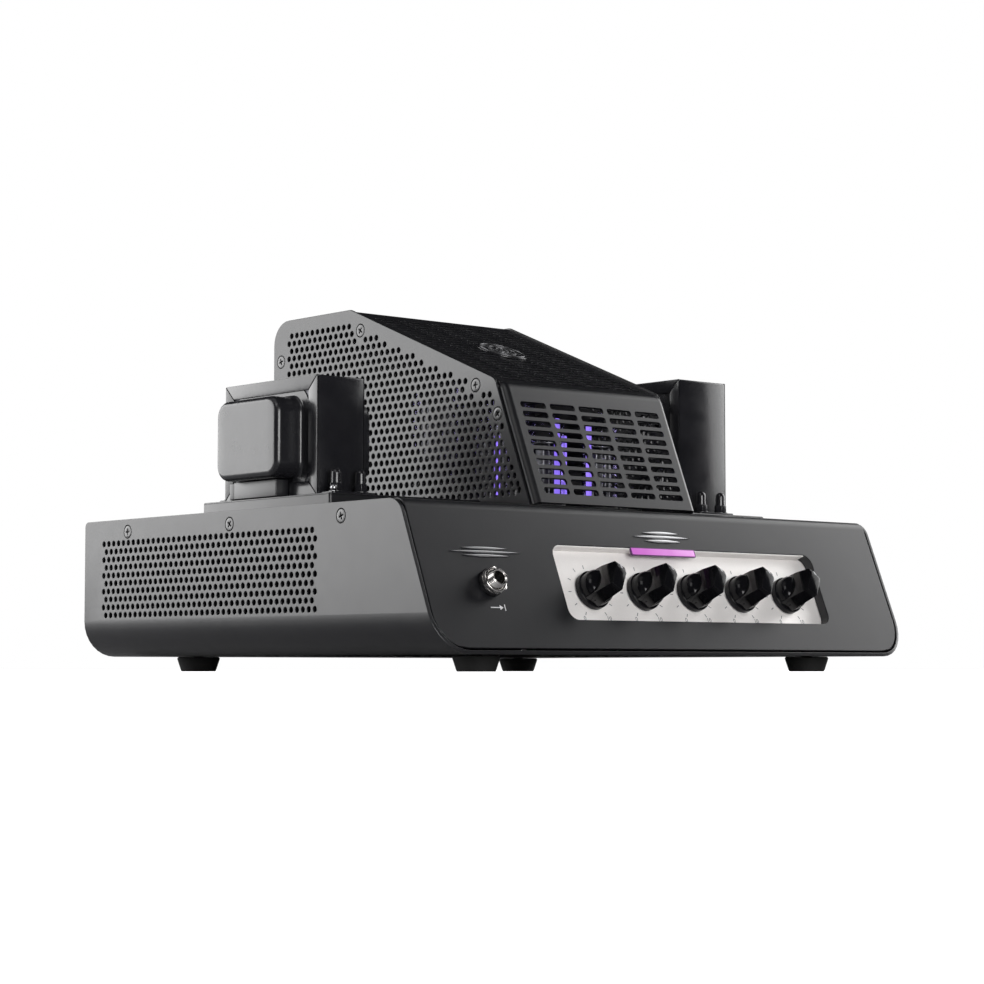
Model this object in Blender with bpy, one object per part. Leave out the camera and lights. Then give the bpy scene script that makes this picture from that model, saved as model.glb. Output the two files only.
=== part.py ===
"""Valve guitar amplifier head: a low steel case with a leaning front panel, a perforated
valve cage and two transformers on its deck.

Frame: metres, +Z up, +X to the right seen from the front, the front faces -Y. The origin is
on the floor under the middle of the case.
"""
import math

import bmesh
import bpy
from mathutils import Matrix, Vector

MM = 0.001
GAP = 0.3 * MM                      # clearance between neighbouring pieces

# Case
CASE_WIDTH = 340.0 * MM
CASE_DEPTH = 316.2 * MM             # along the bottom
CASE_BOTTOM = 8.3 * MM              # height of the case above the floor
DECK_TOP = 84.4 * MM
LEAN = math.radians(22.0)           # the front panel leans back this much
WRAP_SHEET = 2.0 * MM
SHEET = 1.5 * MM
BOARD_SHEET = 1.6 * MM              # circuit boards
SIDE_BEND = 20.0 * MM               # outer radius of the long lower bends
SEAM = 0.7 * MM                     # seam between the wrap and the front panel
PANEL_START = 3.3 * MM              # lower edge of the front panel, measured up its slope
SIDE_SCREW_Y = (-81.5 * MM, 15.2 * MM, 113.6 * MM)
SIDE_SCREW_Z = 77.3 * MM
SIDE_FLANGE = 14.0 * MM
SIDE_FLANGE_Y = (-118.0 * MM, 150.0 * MM)

# Screws: countersunk heads, all of one size, and the holes they pass through
SCREW_HEAD_RADIUS = 3.4 * MM
SCREW_RADIUS = 1.7 * MM
SCREW_CONE = 1.7 * MM               # depth of the countersunk head
CASE_SCREW_LENGTH = 9.0 * MM
CAGE_SCREW_LENGTH = 7.0 * MM
HOLE_MOUTH = 3.7 * MM
HOLE_THROAT = 2.0 * MM
FLANGE_HOLE = 2.1 * MM
HOLE_DEPTH = 4.0 * MM

# Feet
FOOT_X = 120.5 * MM
FOOT_FRONT_Y = -127.2 * MM
FOOT_REAR_Y = 115.9 * MM
FOOT_RADIUS = 9.9 * MM
FOOT_TOP_RADIUS = 12.0 * MM
STEM_RADIUS = 3.0 * MM
STEM_HOLE = 3.4 * MM

# Front panel, in its own frame: x across, s up the slope, off out of the panel
WINDOW_X = (-78.5 * MM, 114.3 * MM)
WINDOW_S = (19.0 * MM, 60.0 * MM)
WINDOW_RADIUS = 6.0 * MM
FACEPLATE_OFF = -6.0 * MM           # front of the recessed faceplate
LIGHT_BAR_HALF = 23.4 * MM
LIGHT_BAR_HEIGHT = 4.2 * MM
KNOB_PITCH = 36.1 * MM
KNOB_MIDDLE_X = 17.9 * MM
KNOB_S = 37.0 * MM
KNOB_RADIUS = 10.2 * MM
KNOB_ANGLE = math.radians(-34.0)    # the bars stand at about one o'clock
BAR_TAIL = -9.2 * MM                # the tail of a bar is upright, its tip has a large chamfer
BAR_TIP = 9.2 * MM
BAR_LOW = 4.2 * MM
BAR_TOP = 24.9 * MM
BAR_FLAT_END = 2.8 * MM             # the flat end runs from the tail to here
BAR_CHAMFER = (7.3 * MM, 21.7 * MM)
BAR_SHOULDER = 11.7 * MM
BAR_HALF_LOW = 4.4 * MM
BAR_HALF_TOP = 3.3 * MM
SHAFT_RADIUS = 3.0 * MM
SHAFT_BORE = 3.5 * MM
BUSH_RADIUS = 4.2 * MM              # threaded bush of a potentiometer
BOARD_DEPTH = 12.4 * MM             # the control board is this far behind the faceplate
JACK_X = -126.5 * MM
JACK_S = 37.3 * MM
JACK_BARREL = 4.8 * MM
JACK_HOLE = 5.2 * MM
JACK_REACH = 9.0 * MM               # the jack's barrel ends this far out of the panel
PLUG_BORE = 3.25 * MM
COLLAR_RADIUS = 7.2 * MM
COLLAR_TOP = 2.9 * MM
NUT_FLAT = 6.7 * MM                 # half the width across the nut's flats
NUT_TOP = 5.7 * MM

# Valve cage, outer line of its cover seen from the side, as (y, z)
CAGE_FRONT_FOOT = (-102.96 * MM, 88.0 * MM)
CAGE_FRONT_TOP = (-76.96 * MM, 152.4 * MM)
CAGE_APEX = (54.2 * MM, 204.5 * MM)
CAGE_BACK = 127.0 * MM
CAGE_HALF = 60.7 * MM               # outer face of the cage sides
CAGE_PROUD = 0.8 * MM               # the sides stand this far outside the cover
CAGE_FLANGE = 12.0 * MM
CAGE_SCREWS = ((120.6 * MM, 181.4 * MM), (44.7 * MM, 192.4 * MM),
               (-56.2 * MM, 152.8 * MM), (-74.2 * MM, 136.0 * MM))
SLOT_COLUMNS = 5
SLOT_ROWS = 10
SLOT_PITCH_X = 21.0 * MM
SLOT_PITCH_S = 5.6 * MM
SLOT_LENGTH = 18.0 * MM
SLOT_HEIGHT = 3.4 * MM
SLOT_FIRST_S = 7.2 * MM

# Tray under the transformers
TRAY_HALF = 160.0 * MM
TRAY_Y = (-59.0 * MM, 55.0 * MM)
TRAY_TOP = 90.8 * MM

# Valves
PREAMP_VALVES = ((-40.0 * MM, -45.5 * MM), (0.0, -45.5 * MM), (40.0 * MM, -45.5 * MM))
POWER_VALVES = ((-27.0 * MM, 18.0 * MM), (27.0 * MM, 18.0 * MM))
PREAMP_SOCKET_RADIUS = 10.5 * MM
POWER_SOCKET_RADIUS = 16.0 * MM
SOCKET_TOP = 93.5 * MM
WIRE_OPENING_HALF = 52.0 * MM
WIRE_OPENING_Y = (-50.0 * MM, 36.0 * MM)

# Transformers
CORE_Y = (-36.1 * MM, 46.5 * MM)
LEFT_X = (-151.3 * MM, -120.1 * MM)
RIGHT_X = (112.2 * MM, 151.4 * MM)
LEFT_TOP = 153.7 * MM
RIGHT_TOP = 170.8 * MM
FRAME_SHEET = 1.2 * MM
FRAME_FLANGE = 7.5 * MM
BELL_REACH = 15.7 * MM
BELL_Y = (-22.3 * MM, 33.1 * MM)
BELL_LOW = 9.5 * MM                 # the bells start this far above the cover's lower edge
BELL_HIGH = 10.5 * MM               # and end this far below its top

# Rear panel, from the mains inlet across to the push button
REAR_Y = CASE_DEPTH / 2 - GAP
REAR_Z = 46.0 * MM
INLET_X = 122.0 * MM
POWER_X = 88.0 * MM
STANDBY_X = 64.0 * MM
FUSE_X = 36.0 * MM
SPEAKER_X = -12.0 * MM
DI_X = -62.0 * MM
BUTTON_X = -98.0 * MM
ROCKER_SIZE = (8.6 * MM, 15.6 * MM)
ROCKER_TILT = math.radians(8.0)
BUTTON_SIZE = 6.4 * MM
REAR_REACH = 165.31 * MM            # the button's tip, as far back as the knobs reach forward

FRONT_Y = -CASE_DEPTH / 2
PANEL_TOP = (DECK_TOP - CASE_BOTTOM) / math.cos(LEAN)


# ---------------------------------------------------------------- materials

def material(name, colour, roughness, metallic=0.0):
    finish = bpy.data.materials.new(name)
    finish.use_nodes = True
    shader = finish.node_tree.nodes["Principled BSDF"]
    shader.inputs["Base Color"].default_value = (*colour, 1.0)
    shader.inputs["Roughness"].default_value = roughness
    shader.inputs["Metallic"].default_value = metallic
    finish.diffuse_color = (*colour, 1.0)
    return finish


BLACK_COAT = ((0.020, 0.020, 0.022), 0.45, 0.0)
GLOSS_BLACK = ((0.010, 0.010, 0.012), 0.25, 0.0)
DARK_SCREW = ((0.030, 0.030, 0.033), 0.35, 0.8)
RUBBER = ((0.012, 0.012, 0.012), 0.80, 0.0)
SILVER = ((0.62, 0.60, 0.57), 0.35, 0.9)
CHROME = ((0.75, 0.75, 0.76), 0.12, 1.0)
MAGENTA = ((0.72, 0.14, 0.72), 0.30, 0.0)
KNOB_BLACK = ((0.012, 0.012, 0.013), 0.30, 0.0)
PLASTIC = ((0.018, 0.018, 0.020), 0.50, 0.0)
GLASS = ((0.55, 0.50, 0.62), 0.08, 0.0)
LAMINATION = ((0.10, 0.10, 0.11), 0.40, 0.8)
BOARD_GREEN = ((0.03, 0.16, 0.07), 0.50, 0.0)


# ---------------------------------------------------------------- outlines

def fillet(corners, radii, steps=4):
    """Replace each corner that has a radius by an arc; the corners run round a loop."""
    points = []
    count = len(corners)
    for index, radius in enumerate(radii):
        corner = Vector(corners[index])
        if radius == 0:
            points.append(corner)
            continue
        to_last = (Vector(corners[index - 1]) - corner).normalized()
        to_next = (Vector(corners[(index + 1) % count]) - corner).normalized()
        half = to_last.angle(to_next) / 2
        centre = corner + (to_last + to_next).normalized() * radius / math.sin(half)
        start = corner + to_last * radius / math.tan(half) - centre
        end = corner + to_next * radius / math.tan(half) - centre
        first = math.atan2(start.y, start.x)
        turn = math.atan2(end.y, end.x) - first
        turn = (turn + math.pi) % (2 * math.pi) - math.pi
        for step in range(steps + 1):
            angle = first + turn * step / steps
            points.append(centre + radius * Vector((math.cos(angle), math.sin(angle))))
    return points


def offset(corners, distance):
    """Shift an open line of corners to its right by a distance."""
    corners = [Vector(corner) for corner in corners]
    rights = []
    for start, end in zip(corners, corners[1:]):
        along = (end - start).normalized()
        rights.append(Vector((along.y, -along.x)))
    moved = [corners[0] + rights[0] * distance]
    for corner, right, next_right in zip(corners[1:], rights, rights[1:]):
        blend = (right + next_right).normalized()
        moved.append(corner + blend * distance / blend.dot(right))
    moved.append(corners[-1] + rights[-1] * distance)
    return moved


def bent_sheet(corners, radii, thickness, steps=4):
    """Outline of a sheet folded along a line; it thickens to the right of the line."""
    inner = offset(corners, thickness)
    inner_radii = [max(radius - thickness, 0.0) for radius in radii]
    loop = list(corners) + inner[::-1]
    return fillet(loop, list(radii) + inner_radii[::-1], steps)


def rounded_rectangle(x_range, y_range, radius, steps=4):
    (x0, x1), (y0, y1) = x_range, y_range
    return fillet([(x0, y0), (x1, y0), (x1, y1), (x0, y1)], [radius] * 4, steps)


def circle(radius, segments, centre=(0.0, 0.0)):
    angles = [2 * math.pi * (k + 0.5) / segments for k in range(segments)]
    return [(centre[0] + radius * math.cos(a), centre[1] + radius * math.sin(a)) for a in angles]


# ---------------------------------------------------------------- solids

PLACE = {
    "X": lambda p, q, a: (a, p, q),
    "Y": lambda p, q, a: (p, a, q),
    "Z": lambda p, q, a: (p, q, a),
}


def add_prism(bm, outline, low, high, axis="Z"):
    """Add an outline pushed along an axis, closed at both ends."""
    place = PLACE[axis]
    floor = [bm.verts.new(place(point[0], point[1], low)) for point in outline]
    roof = [bm.verts.new(place(point[0], point[1], high)) for point in outline]
    faces = [bm.faces.new(floor), bm.faces.new(roof)]
    for index, vert in enumerate(floor):
        after = (index + 1) % len(floor)
        faces.append(bm.faces.new((vert, floor[after], roof[after], roof[index])))
    bmesh.ops.recalc_face_normals(bm, faces=faces)


def add_box(bm, x_range, y_range, z_range):
    outline = [(x_range[0], y_range[0]), (x_range[1], y_range[0]),
               (x_range[1], y_range[1]), (x_range[0], y_range[1])]
    add_prism(bm, outline, z_range[0], z_range[1])


def add_turned(bm, profile, segments=20, centre=(0.0, 0.0)):
    """Add a profile of (radius, height) turned about Z; it starts and ends on the axis."""
    rings = []
    for radius, height in profile:
        if radius == 0:
            rings.append([bm.verts.new((centre[0], centre[1], height))])
        else:
            ring = circle(radius, segments, centre)
            rings.append([bm.verts.new((x, y, height)) for x, y in ring])
    faces = []
    for lower, upper in zip(rings, rings[1:]):
        for index in range(segments):
            after = (index + 1) % segments
            if len(lower) == 1:
                corners = (lower[0], upper[after], upper[index])
            elif len(upper) == 1:
                corners = (lower[index], lower[after], upper[0])
            else:
                corners = (lower[index], lower[after], upper[after], upper[index])
            faces.append(bm.faces.new(corners))
    bmesh.ops.recalc_face_normals(bm, faces=faces)


def add_object(name, bm, finish=None, parent=None, location=(0, 0, 0), rotation=(0, 0, 0)):
    mesh = bpy.data.meshes.new(name)
    bm.to_mesh(mesh)
    bm.free()
    thing = bpy.data.objects.new(name, mesh)
    bpy.context.scene.collection.objects.link(thing)
    thing.parent = parent
    thing.location = location
    thing.rotation_euler = rotation
    if finish:
        mesh.materials.append(material(name + "_finish", *finish))
    return thing


def smooth(thing, degrees=35):
    thing.data.shade_smooth()
    thing.data.set_sharp_from_angle(angle=math.radians(degrees))


def combine(thing, bm, operation, parent=None):
    """Cut a tool shape out of a piece, or weld it on; the tool itself isn't a piece."""
    tool = add_object(thing.name + "_" + operation.lower(), bm, parent=parent or thing.parent)
    if parent is None:
        tool.location = thing.location
        tool.rotation_euler = thing.rotation_euler
    tool.hide_render = True
    tool.display_type = "WIRE"
    step = thing.modifiers.new(operation.title(), "BOOLEAN")
    step.operation = operation
    step.solver = "EXACT"
    step.object = tool


def pressed(x_range, y_range, z_range):
    bm = bmesh.new()
    add_box(bm, x_range, y_range, z_range)
    return bm


def around(centre, half):
    return (centre - half, centre + half)


# ---------------------------------------------------------------- case

def side_outline():
    """Side view of the case, as (y, z); the leaning front edge ends in a rounded corner."""
    margin = 1.0 * MM
    lean = math.tan(LEAN)
    top_front = FRONT_Y + (DECK_TOP - CASE_BOTTOM) * lean
    corners = [(FRONT_Y - margin * lean, CASE_BOTTOM - margin), (top_front, DECK_TOP),
               (-FRONT_Y, DECK_TOP), (-FRONT_Y, CASE_BOTTOM - margin)]
    return fillet(corners, [0, 11.0 * MM, 3.0 * MM, 0], 5)


def add_side_holes(bm, side, surface, points, mouth, throat):
    """Add countersunk bores that run in from a side face at the given (y, z) points."""
    start = -0.2 * MM
    profile = [(0, start), (mouth, start), (mouth, 0.0), (throat, SCREW_CONE),
               (throat, HOLE_DEPTH), (0, HOLE_DEPTH)]
    for y, z in points:
        turned = bmesh.new()
        add_turned(turned, profile, 12)
        turn = Matrix.Rotation(-side * math.pi / 2, 4, "Y")
        turned.transform(Matrix.Translation((side * surface, y, z)) @ turn)
        mesh = bpy.data.meshes.new("bore")
        turned.to_mesh(mesh)
        turned.free()
        bm.from_mesh(mesh)
        bpy.data.meshes.remove(mesh)


def make_case_wrap():
    half = CASE_WIDTH / 2
    corners = [(half, DECK_TOP + MM), (half, CASE_BOTTOM), (-half, CASE_BOTTOM),
               (-half, DECK_TOP + MM)]
    bm = bmesh.new()
    outline = bent_sheet(corners, [0, SIDE_BEND, SIDE_BEND, 0], WRAP_SHEET, 6)
    add_prism(bm, outline, FRONT_Y - 2 * MM, -FRONT_Y + 2 * MM, "Y")
    wrap = add_object("case_wrap", bm, BLACK_COAT)
    bm = bmesh.new()
    add_prism(bm, side_outline(), -half - MM, half + MM, "X")
    combine(wrap, bm, "INTERSECT")
    bm = bmesh.new()
    screws = [(y, SIDE_SCREW_Z) for y in SIDE_SCREW_Y]
    for side in (-1, 1):
        add_side_holes(bm, side, half, screws, HOLE_MOUTH, HOLE_THROAT)
    for place in foot_places().values():
        add_prism(bm, circle(STEM_HOLE, 12, place), CASE_BOTTOM - MM, CASE_BOTTOM + 4 * MM)
    combine(wrap, bm, "DIFFERENCE")


def chassis_line():
    """Line of the folded chassis, front panel, deck and rear panel, as (y, z)."""
    lower_z = CASE_BOTTOM + PANEL_START * math.cos(LEAN)
    return [(FRONT_Y + PANEL_START * math.sin(LEAN), lower_z),
            (FRONT_Y + PANEL_TOP * math.sin(LEAN), DECK_TOP),
            (REAR_Y, DECK_TOP), (REAR_Y, lower_z)]


def add_rear_cutouts(bm):
    inside = REAR_Y - 4 * MM
    outside = REAR_Y + 2 * MM
    openings = ((INLET_X, 13.9 * MM, 10.3 * MM), (POWER_X, 6.9 * MM, 10.3 * MM),
                (STANDBY_X, 6.9 * MM, 10.3 * MM), (BUTTON_X, 3.6 * MM, 3.6 * MM),
                (SPEAKER_X, 10.3 * MM, 10.3 * MM))
    for x, half_x, half_z in openings:
        add_box(bm, around(x, half_x), (inside, outside), around(REAR_Z, half_z))
    for x, radius in ((FUSE_X, 6.4 * MM), (DI_X, 12.0 * MM)):
        add_prism(bm, circle(radius, 20, (x, REAR_Z)), inside, outside, "Y")


def make_chassis(panel):
    half = CASE_WIDTH / 2 - WRAP_SHEET - SEAM
    bm = bmesh.new()
    outline = bent_sheet(chassis_line(), [0, 7.0 * MM, 3.0 * MM, 0], SHEET, 5)
    add_prism(bm, outline, -half, half, "X")
    chassis = add_object("chassis", bm, BLACK_COAT)
    # Lower corners follow the bends of the wrap.
    corner = SIDE_BEND - WRAP_SHEET - SEAM
    low = CASE_BOTTOM + WRAP_SHEET + SEAM
    bm = bmesh.new()
    outline = fillet([(-half, low), (half, low), (half, DECK_TOP + MM), (-half, DECK_TOP + MM)],
                     [corner, corner, 0, 0], 6)
    add_prism(bm, outline, FRONT_Y - 9 * MM, -FRONT_Y + 9 * MM, "Y")
    combine(chassis, bm, "INTERSECT")
    # Flanges folded down from the deck, which take the side screws.
    bm = bmesh.new()
    for side in (-1, 1):
        reach = sorted((side * half, side * (half - SHEET)))
        add_box(bm, reach, SIDE_FLANGE_Y, (DECK_TOP - SIDE_FLANGE, DECK_TOP - 0.5 * SHEET))
    combine(chassis, bm, "UNION")
    # Return flange round the window.
    bm = bmesh.new()
    edge = 1.2 * MM
    x_range = (WINDOW_X[0] - edge, WINDOW_X[1] + edge)
    s_range = (WINDOW_S[0] - edge, WINDOW_S[1] + edge)
    outline = rounded_rectangle(x_range, s_range, WINDOW_RADIUS + edge)
    add_prism(bm, outline, FACEPLATE_OFF + GAP, -0.5 * SHEET)
    combine(chassis, bm, "UNION", panel)
    bm = bmesh.new()
    outline = rounded_rectangle(WINDOW_X, WINDOW_S, WINDOW_RADIUS)
    add_prism(bm, outline, FACEPLATE_OFF - MM, 2 * MM)
    add_prism(bm, circle(JACK_HOLE, 20, (JACK_X, JACK_S)), -4 * MM, 2 * MM)
    combine(chassis, bm, "DIFFERENCE", panel)
    bm = bmesh.new()
    add_rear_cutouts(bm)
    holes = [(y, SIDE_SCREW_Z) for y in SIDE_SCREW_Y]
    for side in (-1, 1):
        add_side_holes(bm, side, half + 0.5 * MM, holes, FLANGE_HOLE, FLANGE_HOLE)
    # Wire opening in the deck under the valve sockets.
    add_box(bm, around(0, WIRE_OPENING_HALF), WIRE_OPENING_Y, (DECK_TOP - 4 * MM, DECK_TOP + MM))
    combine(chassis, bm, "DIFFERENCE")


def foot_places():
    return {
        "foot_front_left": (-FOOT_X, FOOT_FRONT_Y),
        "foot_front_right": (FOOT_X, FOOT_FRONT_Y),
        "foot_rear_left": (-FOOT_X, FOOT_REAR_Y),
        "foot_rear_right": (FOOT_X, FOOT_REAR_Y),
    }


def make_foot(name, place):
    """Rubber foot with a push-in stem."""
    top = CASE_BOTTOM - GAP
    stem = CASE_BOTTOM + WRAP_SHEET + 1.5 * MM
    profile = [(0, 0.0), (FOOT_RADIUS, 0.0), (FOOT_TOP_RADIUS, top), (STEM_RADIUS, top),
               (STEM_RADIUS, stem), (0, stem)]
    bm = bmesh.new()
    add_turned(bm, profile, 18)
    foot = add_object(name, bm, RUBBER, location=(*place, 0))
    smooth(foot)


def make_side_screw(name, side, surface, y, z, length):
    """Countersunk screw whose head is flush with a side face."""
    profile = [(0, 0.0), (SCREW_HEAD_RADIUS, 0.0), (SCREW_RADIUS, SCREW_CONE),
               (SCREW_RADIUS, length), (0, length)]
    bm = bmesh.new()
    add_turned(bm, profile, 12)
    turn = (0, -side * math.pi / 2, 0)
    screw = add_object(name, bm, DARK_SCREW, location=(side * surface, y, z), rotation=turn)
    smooth(screw)


# ---------------------------------------------------------------- front panel

def make_panel_frame():
    """Empty whose axes are across the front panel, up its slope and out of it."""
    panel = bpy.data.objects.new("panel_frame", None)
    bpy.context.scene.collection.objects.link(panel)
    panel.location = (0, FRONT_Y, CASE_BOTTOM)
    panel.rotation_euler = (math.pi / 2 - LEAN, 0, 0)
    return panel


def knob_places():
    names = ("gain_knob", "bass_knob", "midrange_knob", "treble_knob", "volume_knob")
    middle = (len(names) - 1) / 2
    return {name: KNOB_MIDDLE_X + (k - middle) * KNOB_PITCH for k, name in enumerate(names)}


def make_faceplate(panel):
    margin = 5.0 * MM
    x_range = (WINDOW_X[0] - margin, WINDOW_X[1] + margin)
    s_range = (WINDOW_S[0] - margin, WINDOW_S[1] + margin)
    bm = bmesh.new()
    add_prism(bm, rounded_rectangle(x_range, s_range, 4 * MM), FACEPLATE_OFF - SHEET,
              FACEPLATE_OFF)
    plate = add_object("faceplate", bm, SILVER, panel)
    bm = bmesh.new()
    for x in knob_places().values():
        add_prism(bm, circle(BUSH_RADIUS + 0.4 * MM, 12, (x, KNOB_S)), FACEPLATE_OFF - 3 * MM,
                  FACEPLATE_OFF + MM)
    combine(plate, bm, "DIFFERENCE")


def make_light_bar(panel):
    high = WINDOW_S[1] - GAP
    outline = rounded_rectangle((-LIGHT_BAR_HALF, LIGHT_BAR_HALF),
                                (high - LIGHT_BAR_HEIGHT, high), 0.6 * MM, 2)
    bm = bmesh.new()
    add_prism(bm, outline, FACEPLATE_OFF + GAP, 0.3 * MM)
    add_object("light_bar", bm, MAGENTA, panel)


def make_knob(name, x, panel):
    """Bar knob on a round skirt, pressed on its shaft; it turns about the panel's normal."""
    under = 0.5 * MM
    recess = 3.2 * MM
    shaft_end = -11.2 * MM
    profile = [(0, shaft_end), (SHAFT_RADIUS, shaft_end), (SHAFT_RADIUS, recess),
               (8.4 * MM, recess), (8.4 * MM, under), (KNOB_RADIUS, under),
               (KNOB_RADIUS, 3.9 * MM), (9.7 * MM, 4.3 * MM), (9.3 * MM, 6.5 * MM),
               (7.5 * MM, 10.0 * MM), (4.5 * MM, 11.8 * MM), (0, 12.3 * MM)]
    bm = bmesh.new()
    add_turned(bm, profile, 18)
    place = (x, KNOB_S, FACEPLATE_OFF)
    knob = add_object(name, bm, KNOB_BLACK, panel, place, (0, 0, KNOB_ANGLE))
    smooth(knob)
    # Grip bar, seen from its side, narrower towards its flat end.
    side = [(BAR_TAIL, BAR_LOW), (BAR_TIP, BAR_LOW), (BAR_TIP, BAR_SHOULDER), BAR_CHAMFER,
            (BAR_FLAT_END, BAR_TOP), (BAR_TAIL, BAR_TOP)]
    bm = bmesh.new()
    add_prism(bm, side, -1, 1, "X")
    for vert in bm.verts:
        share = (vert.co.z - BAR_LOW) / (BAR_TOP - BAR_LOW)
        vert.co.x *= BAR_HALF_LOW + (BAR_HALF_TOP - BAR_HALF_LOW) * share
    combine(knob, bm, "UNION")


def make_control_board(panel):
    """Circuit board with the five potentiometers soldered to it."""
    back = FACEPLATE_OFF - BOARD_DEPTH
    bm = bmesh.new()
    x_range = (WINDOW_X[0] + 2 * MM, WINDOW_X[1] - 2 * MM)
    add_box(bm, x_range, around(KNOB_S, 15 * MM), (back - BOARD_SHEET, back))
    board = add_object("control_board", bm, BOARD_GREEN, panel)
    pots = bmesh.new()
    bores = bmesh.new()
    case_radius = 8.2 * MM
    low = back - 0.5 * MM
    rear = FACEPLATE_OFF - SHEET - GAP
    high = FACEPLATE_OFF + 1.5 * MM
    for x in knob_places().values():
        profile = [(0, low), (case_radius, low), (case_radius, rear), (BUSH_RADIUS, rear),
                   (BUSH_RADIUS, high), (0, high)]
        add_turned(pots, profile, 12, (x, KNOB_S))
        add_prism(bores, circle(SHAFT_BORE, 12, (x, KNOB_S)), back + 0.8 * MM, high + MM)
    combine(board, pots, "UNION")
    combine(board, bores, "DIFFERENCE")


def make_ring(name, outer, inner_radius, low, high, finish, parent, location):
    bm = bmesh.new()
    add_prism(bm, outer, low, high)
    ring = add_object(name, bm, finish, parent, location)
    bm = bmesh.new()
    add_prism(bm, circle(inner_radius, 20), low - MM, high + MM)
    combine(ring, bm, "DIFFERENCE")
    smooth(ring)


def make_input_jack(panel):
    place = (JACK_X, JACK_S, 0)
    bm = bmesh.new()
    add_box(bm, around(0, 9 * MM), around(0, 9 * MM), (-24 * MM, -SHEET - GAP))
    jack = add_object("input_jack", bm, PLASTIC, panel, place)
    bm = bmesh.new()
    add_prism(bm, circle(JACK_BARREL, 20), -4 * MM, JACK_REACH)
    combine(jack, bm, "UNION")
    bm = bmesh.new()
    add_prism(bm, circle(PLUG_BORE, 20), -18 * MM, JACK_REACH + MM)
    combine(jack, bm, "DIFFERENCE")
    smooth(jack)
    inner = JACK_BARREL + GAP
    make_ring("input_jack_collar", circle(COLLAR_RADIUS, 18), inner, GAP, COLLAR_TOP, PLASTIC,
              panel, place)
    nut_radius = NUT_FLAT / math.cos(math.pi / 6)
    make_ring("input_jack_nut", circle(nut_radius, 6), inner, COLLAR_TOP + GAP, NUT_TOP, CHROME,
              panel, place)


# ---------------------------------------------------------------- valve cage

def cage_line():
    return [CAGE_FRONT_FOOT, CAGE_FRONT_TOP, CAGE_APEX, (CAGE_BACK, CAGE_APEX[1]),
            (CAGE_BACK, DECK_TOP + GAP)]


CAGE_BENDS = [0, 7.0 * MM, 6.0 * MM, 14.0 * MM, 0]


def add_slots(bm):
    """Ventilation slots of the cage front, in rows up its slope."""
    foot = Vector(CAGE_FRONT_FOOT)
    along = (Vector(CAGE_FRONT_TOP) - foot).normalized()
    lean = math.atan2(along.x, along.y)
    frame = Matrix.Translation((0, foot.x, foot.y)) @ Matrix.Rotation(math.pi / 2 - lean, 4, "X")
    slots = bmesh.new()
    for column in range(SLOT_COLUMNS):
        x = (column - (SLOT_COLUMNS - 1) / 2) * SLOT_PITCH_X
        for row in range(SLOT_ROWS):
            s = SLOT_FIRST_S + row * SLOT_PITCH_S
            outline = rounded_rectangle(around(x, SLOT_LENGTH / 2), around(s, SLOT_HEIGHT / 2),
                                        1.4 * MM, 1)
            add_prism(slots, outline, -4 * MM, 2 * MM)
    slots.transform(frame)
    mesh = bpy.data.meshes.new("slots")
    slots.to_mesh(mesh)
    slots.free()
    bm.from_mesh(mesh)
    bpy.data.meshes.remove(mesh)


def make_cage_cover():
    half = CAGE_HALF - SHEET - GAP
    bm = bmesh.new()
    add_prism(bm, bent_sheet(cage_line(), CAGE_BENDS, SHEET), -half, half, "X")
    cover = add_object("cage_cover", bm, BLACK_COAT)
    flanges = bmesh.new()
    radii = [0, CAGE_BENDS[1], 0, CAGE_BENDS[3], 0]
    inner = offset(cage_line(), CAGE_FLANGE)
    along = (inner[1] - inner[0]).normalized()
    inner[0] += along * (CAGE_FRONT_FOOT[1] - inner[0].y) / along.y
    outer = offset(cage_line(), 0.5 * SHEET)
    outline = fillet(outer + inner[::-1], radii + [0] * len(inner))
    for side in (-1, 1):
        low, high = sorted((side * half, side * (half - SHEET)))
        add_prism(flanges, outline, low, high, "X")
    combine(cover, flanges, "UNION")
    bm = bmesh.new()
    add_slots(bm)
    for side in (-1, 1):
        add_side_holes(bm, side, half + 0.5 * MM, CAGE_SCREWS, FLANGE_HOLE, FLANGE_HOLE)
    combine(cover, bm, "DIFFERENCE")


def make_cage_side(name, side):
    """Flat side of the cage; its lower edge steps over the tray."""
    line = cage_line()
    foot = Vector(line[0])
    along = (Vector(line[1]) - foot).normalized()
    line[0] = foot - along * (foot.y - DECK_TOP - GAP) / along.y
    corners = offset(line, -CAGE_PROUD)
    corners[0].y = corners[-1].y = DECK_TOP + GAP
    over = TRAY_TOP + GAP
    low = DECK_TOP + GAP
    back = TRAY_Y[1] + GAP
    front = TRAY_Y[0] - GAP
    corners += [Vector(p) for p in ((back, low), (back, over), (front, over), (front, low))]
    outline = fillet(corners, CAGE_BENDS + [0] * 4, 5)
    reach = sorted((side * CAGE_HALF, side * (CAGE_HALF - SHEET)))
    bm = bmesh.new()
    add_prism(bm, outline, reach[0], reach[1], "X")
    sheet = add_object(name, bm, BLACK_COAT)
    bm = bmesh.new()
    add_side_holes(bm, side, CAGE_HALF, CAGE_SCREWS, HOLE_MOUTH, HOLE_THROAT)
    combine(sheet, bm, "DIFFERENCE")


# ---------------------------------------------------------------- deck

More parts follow.
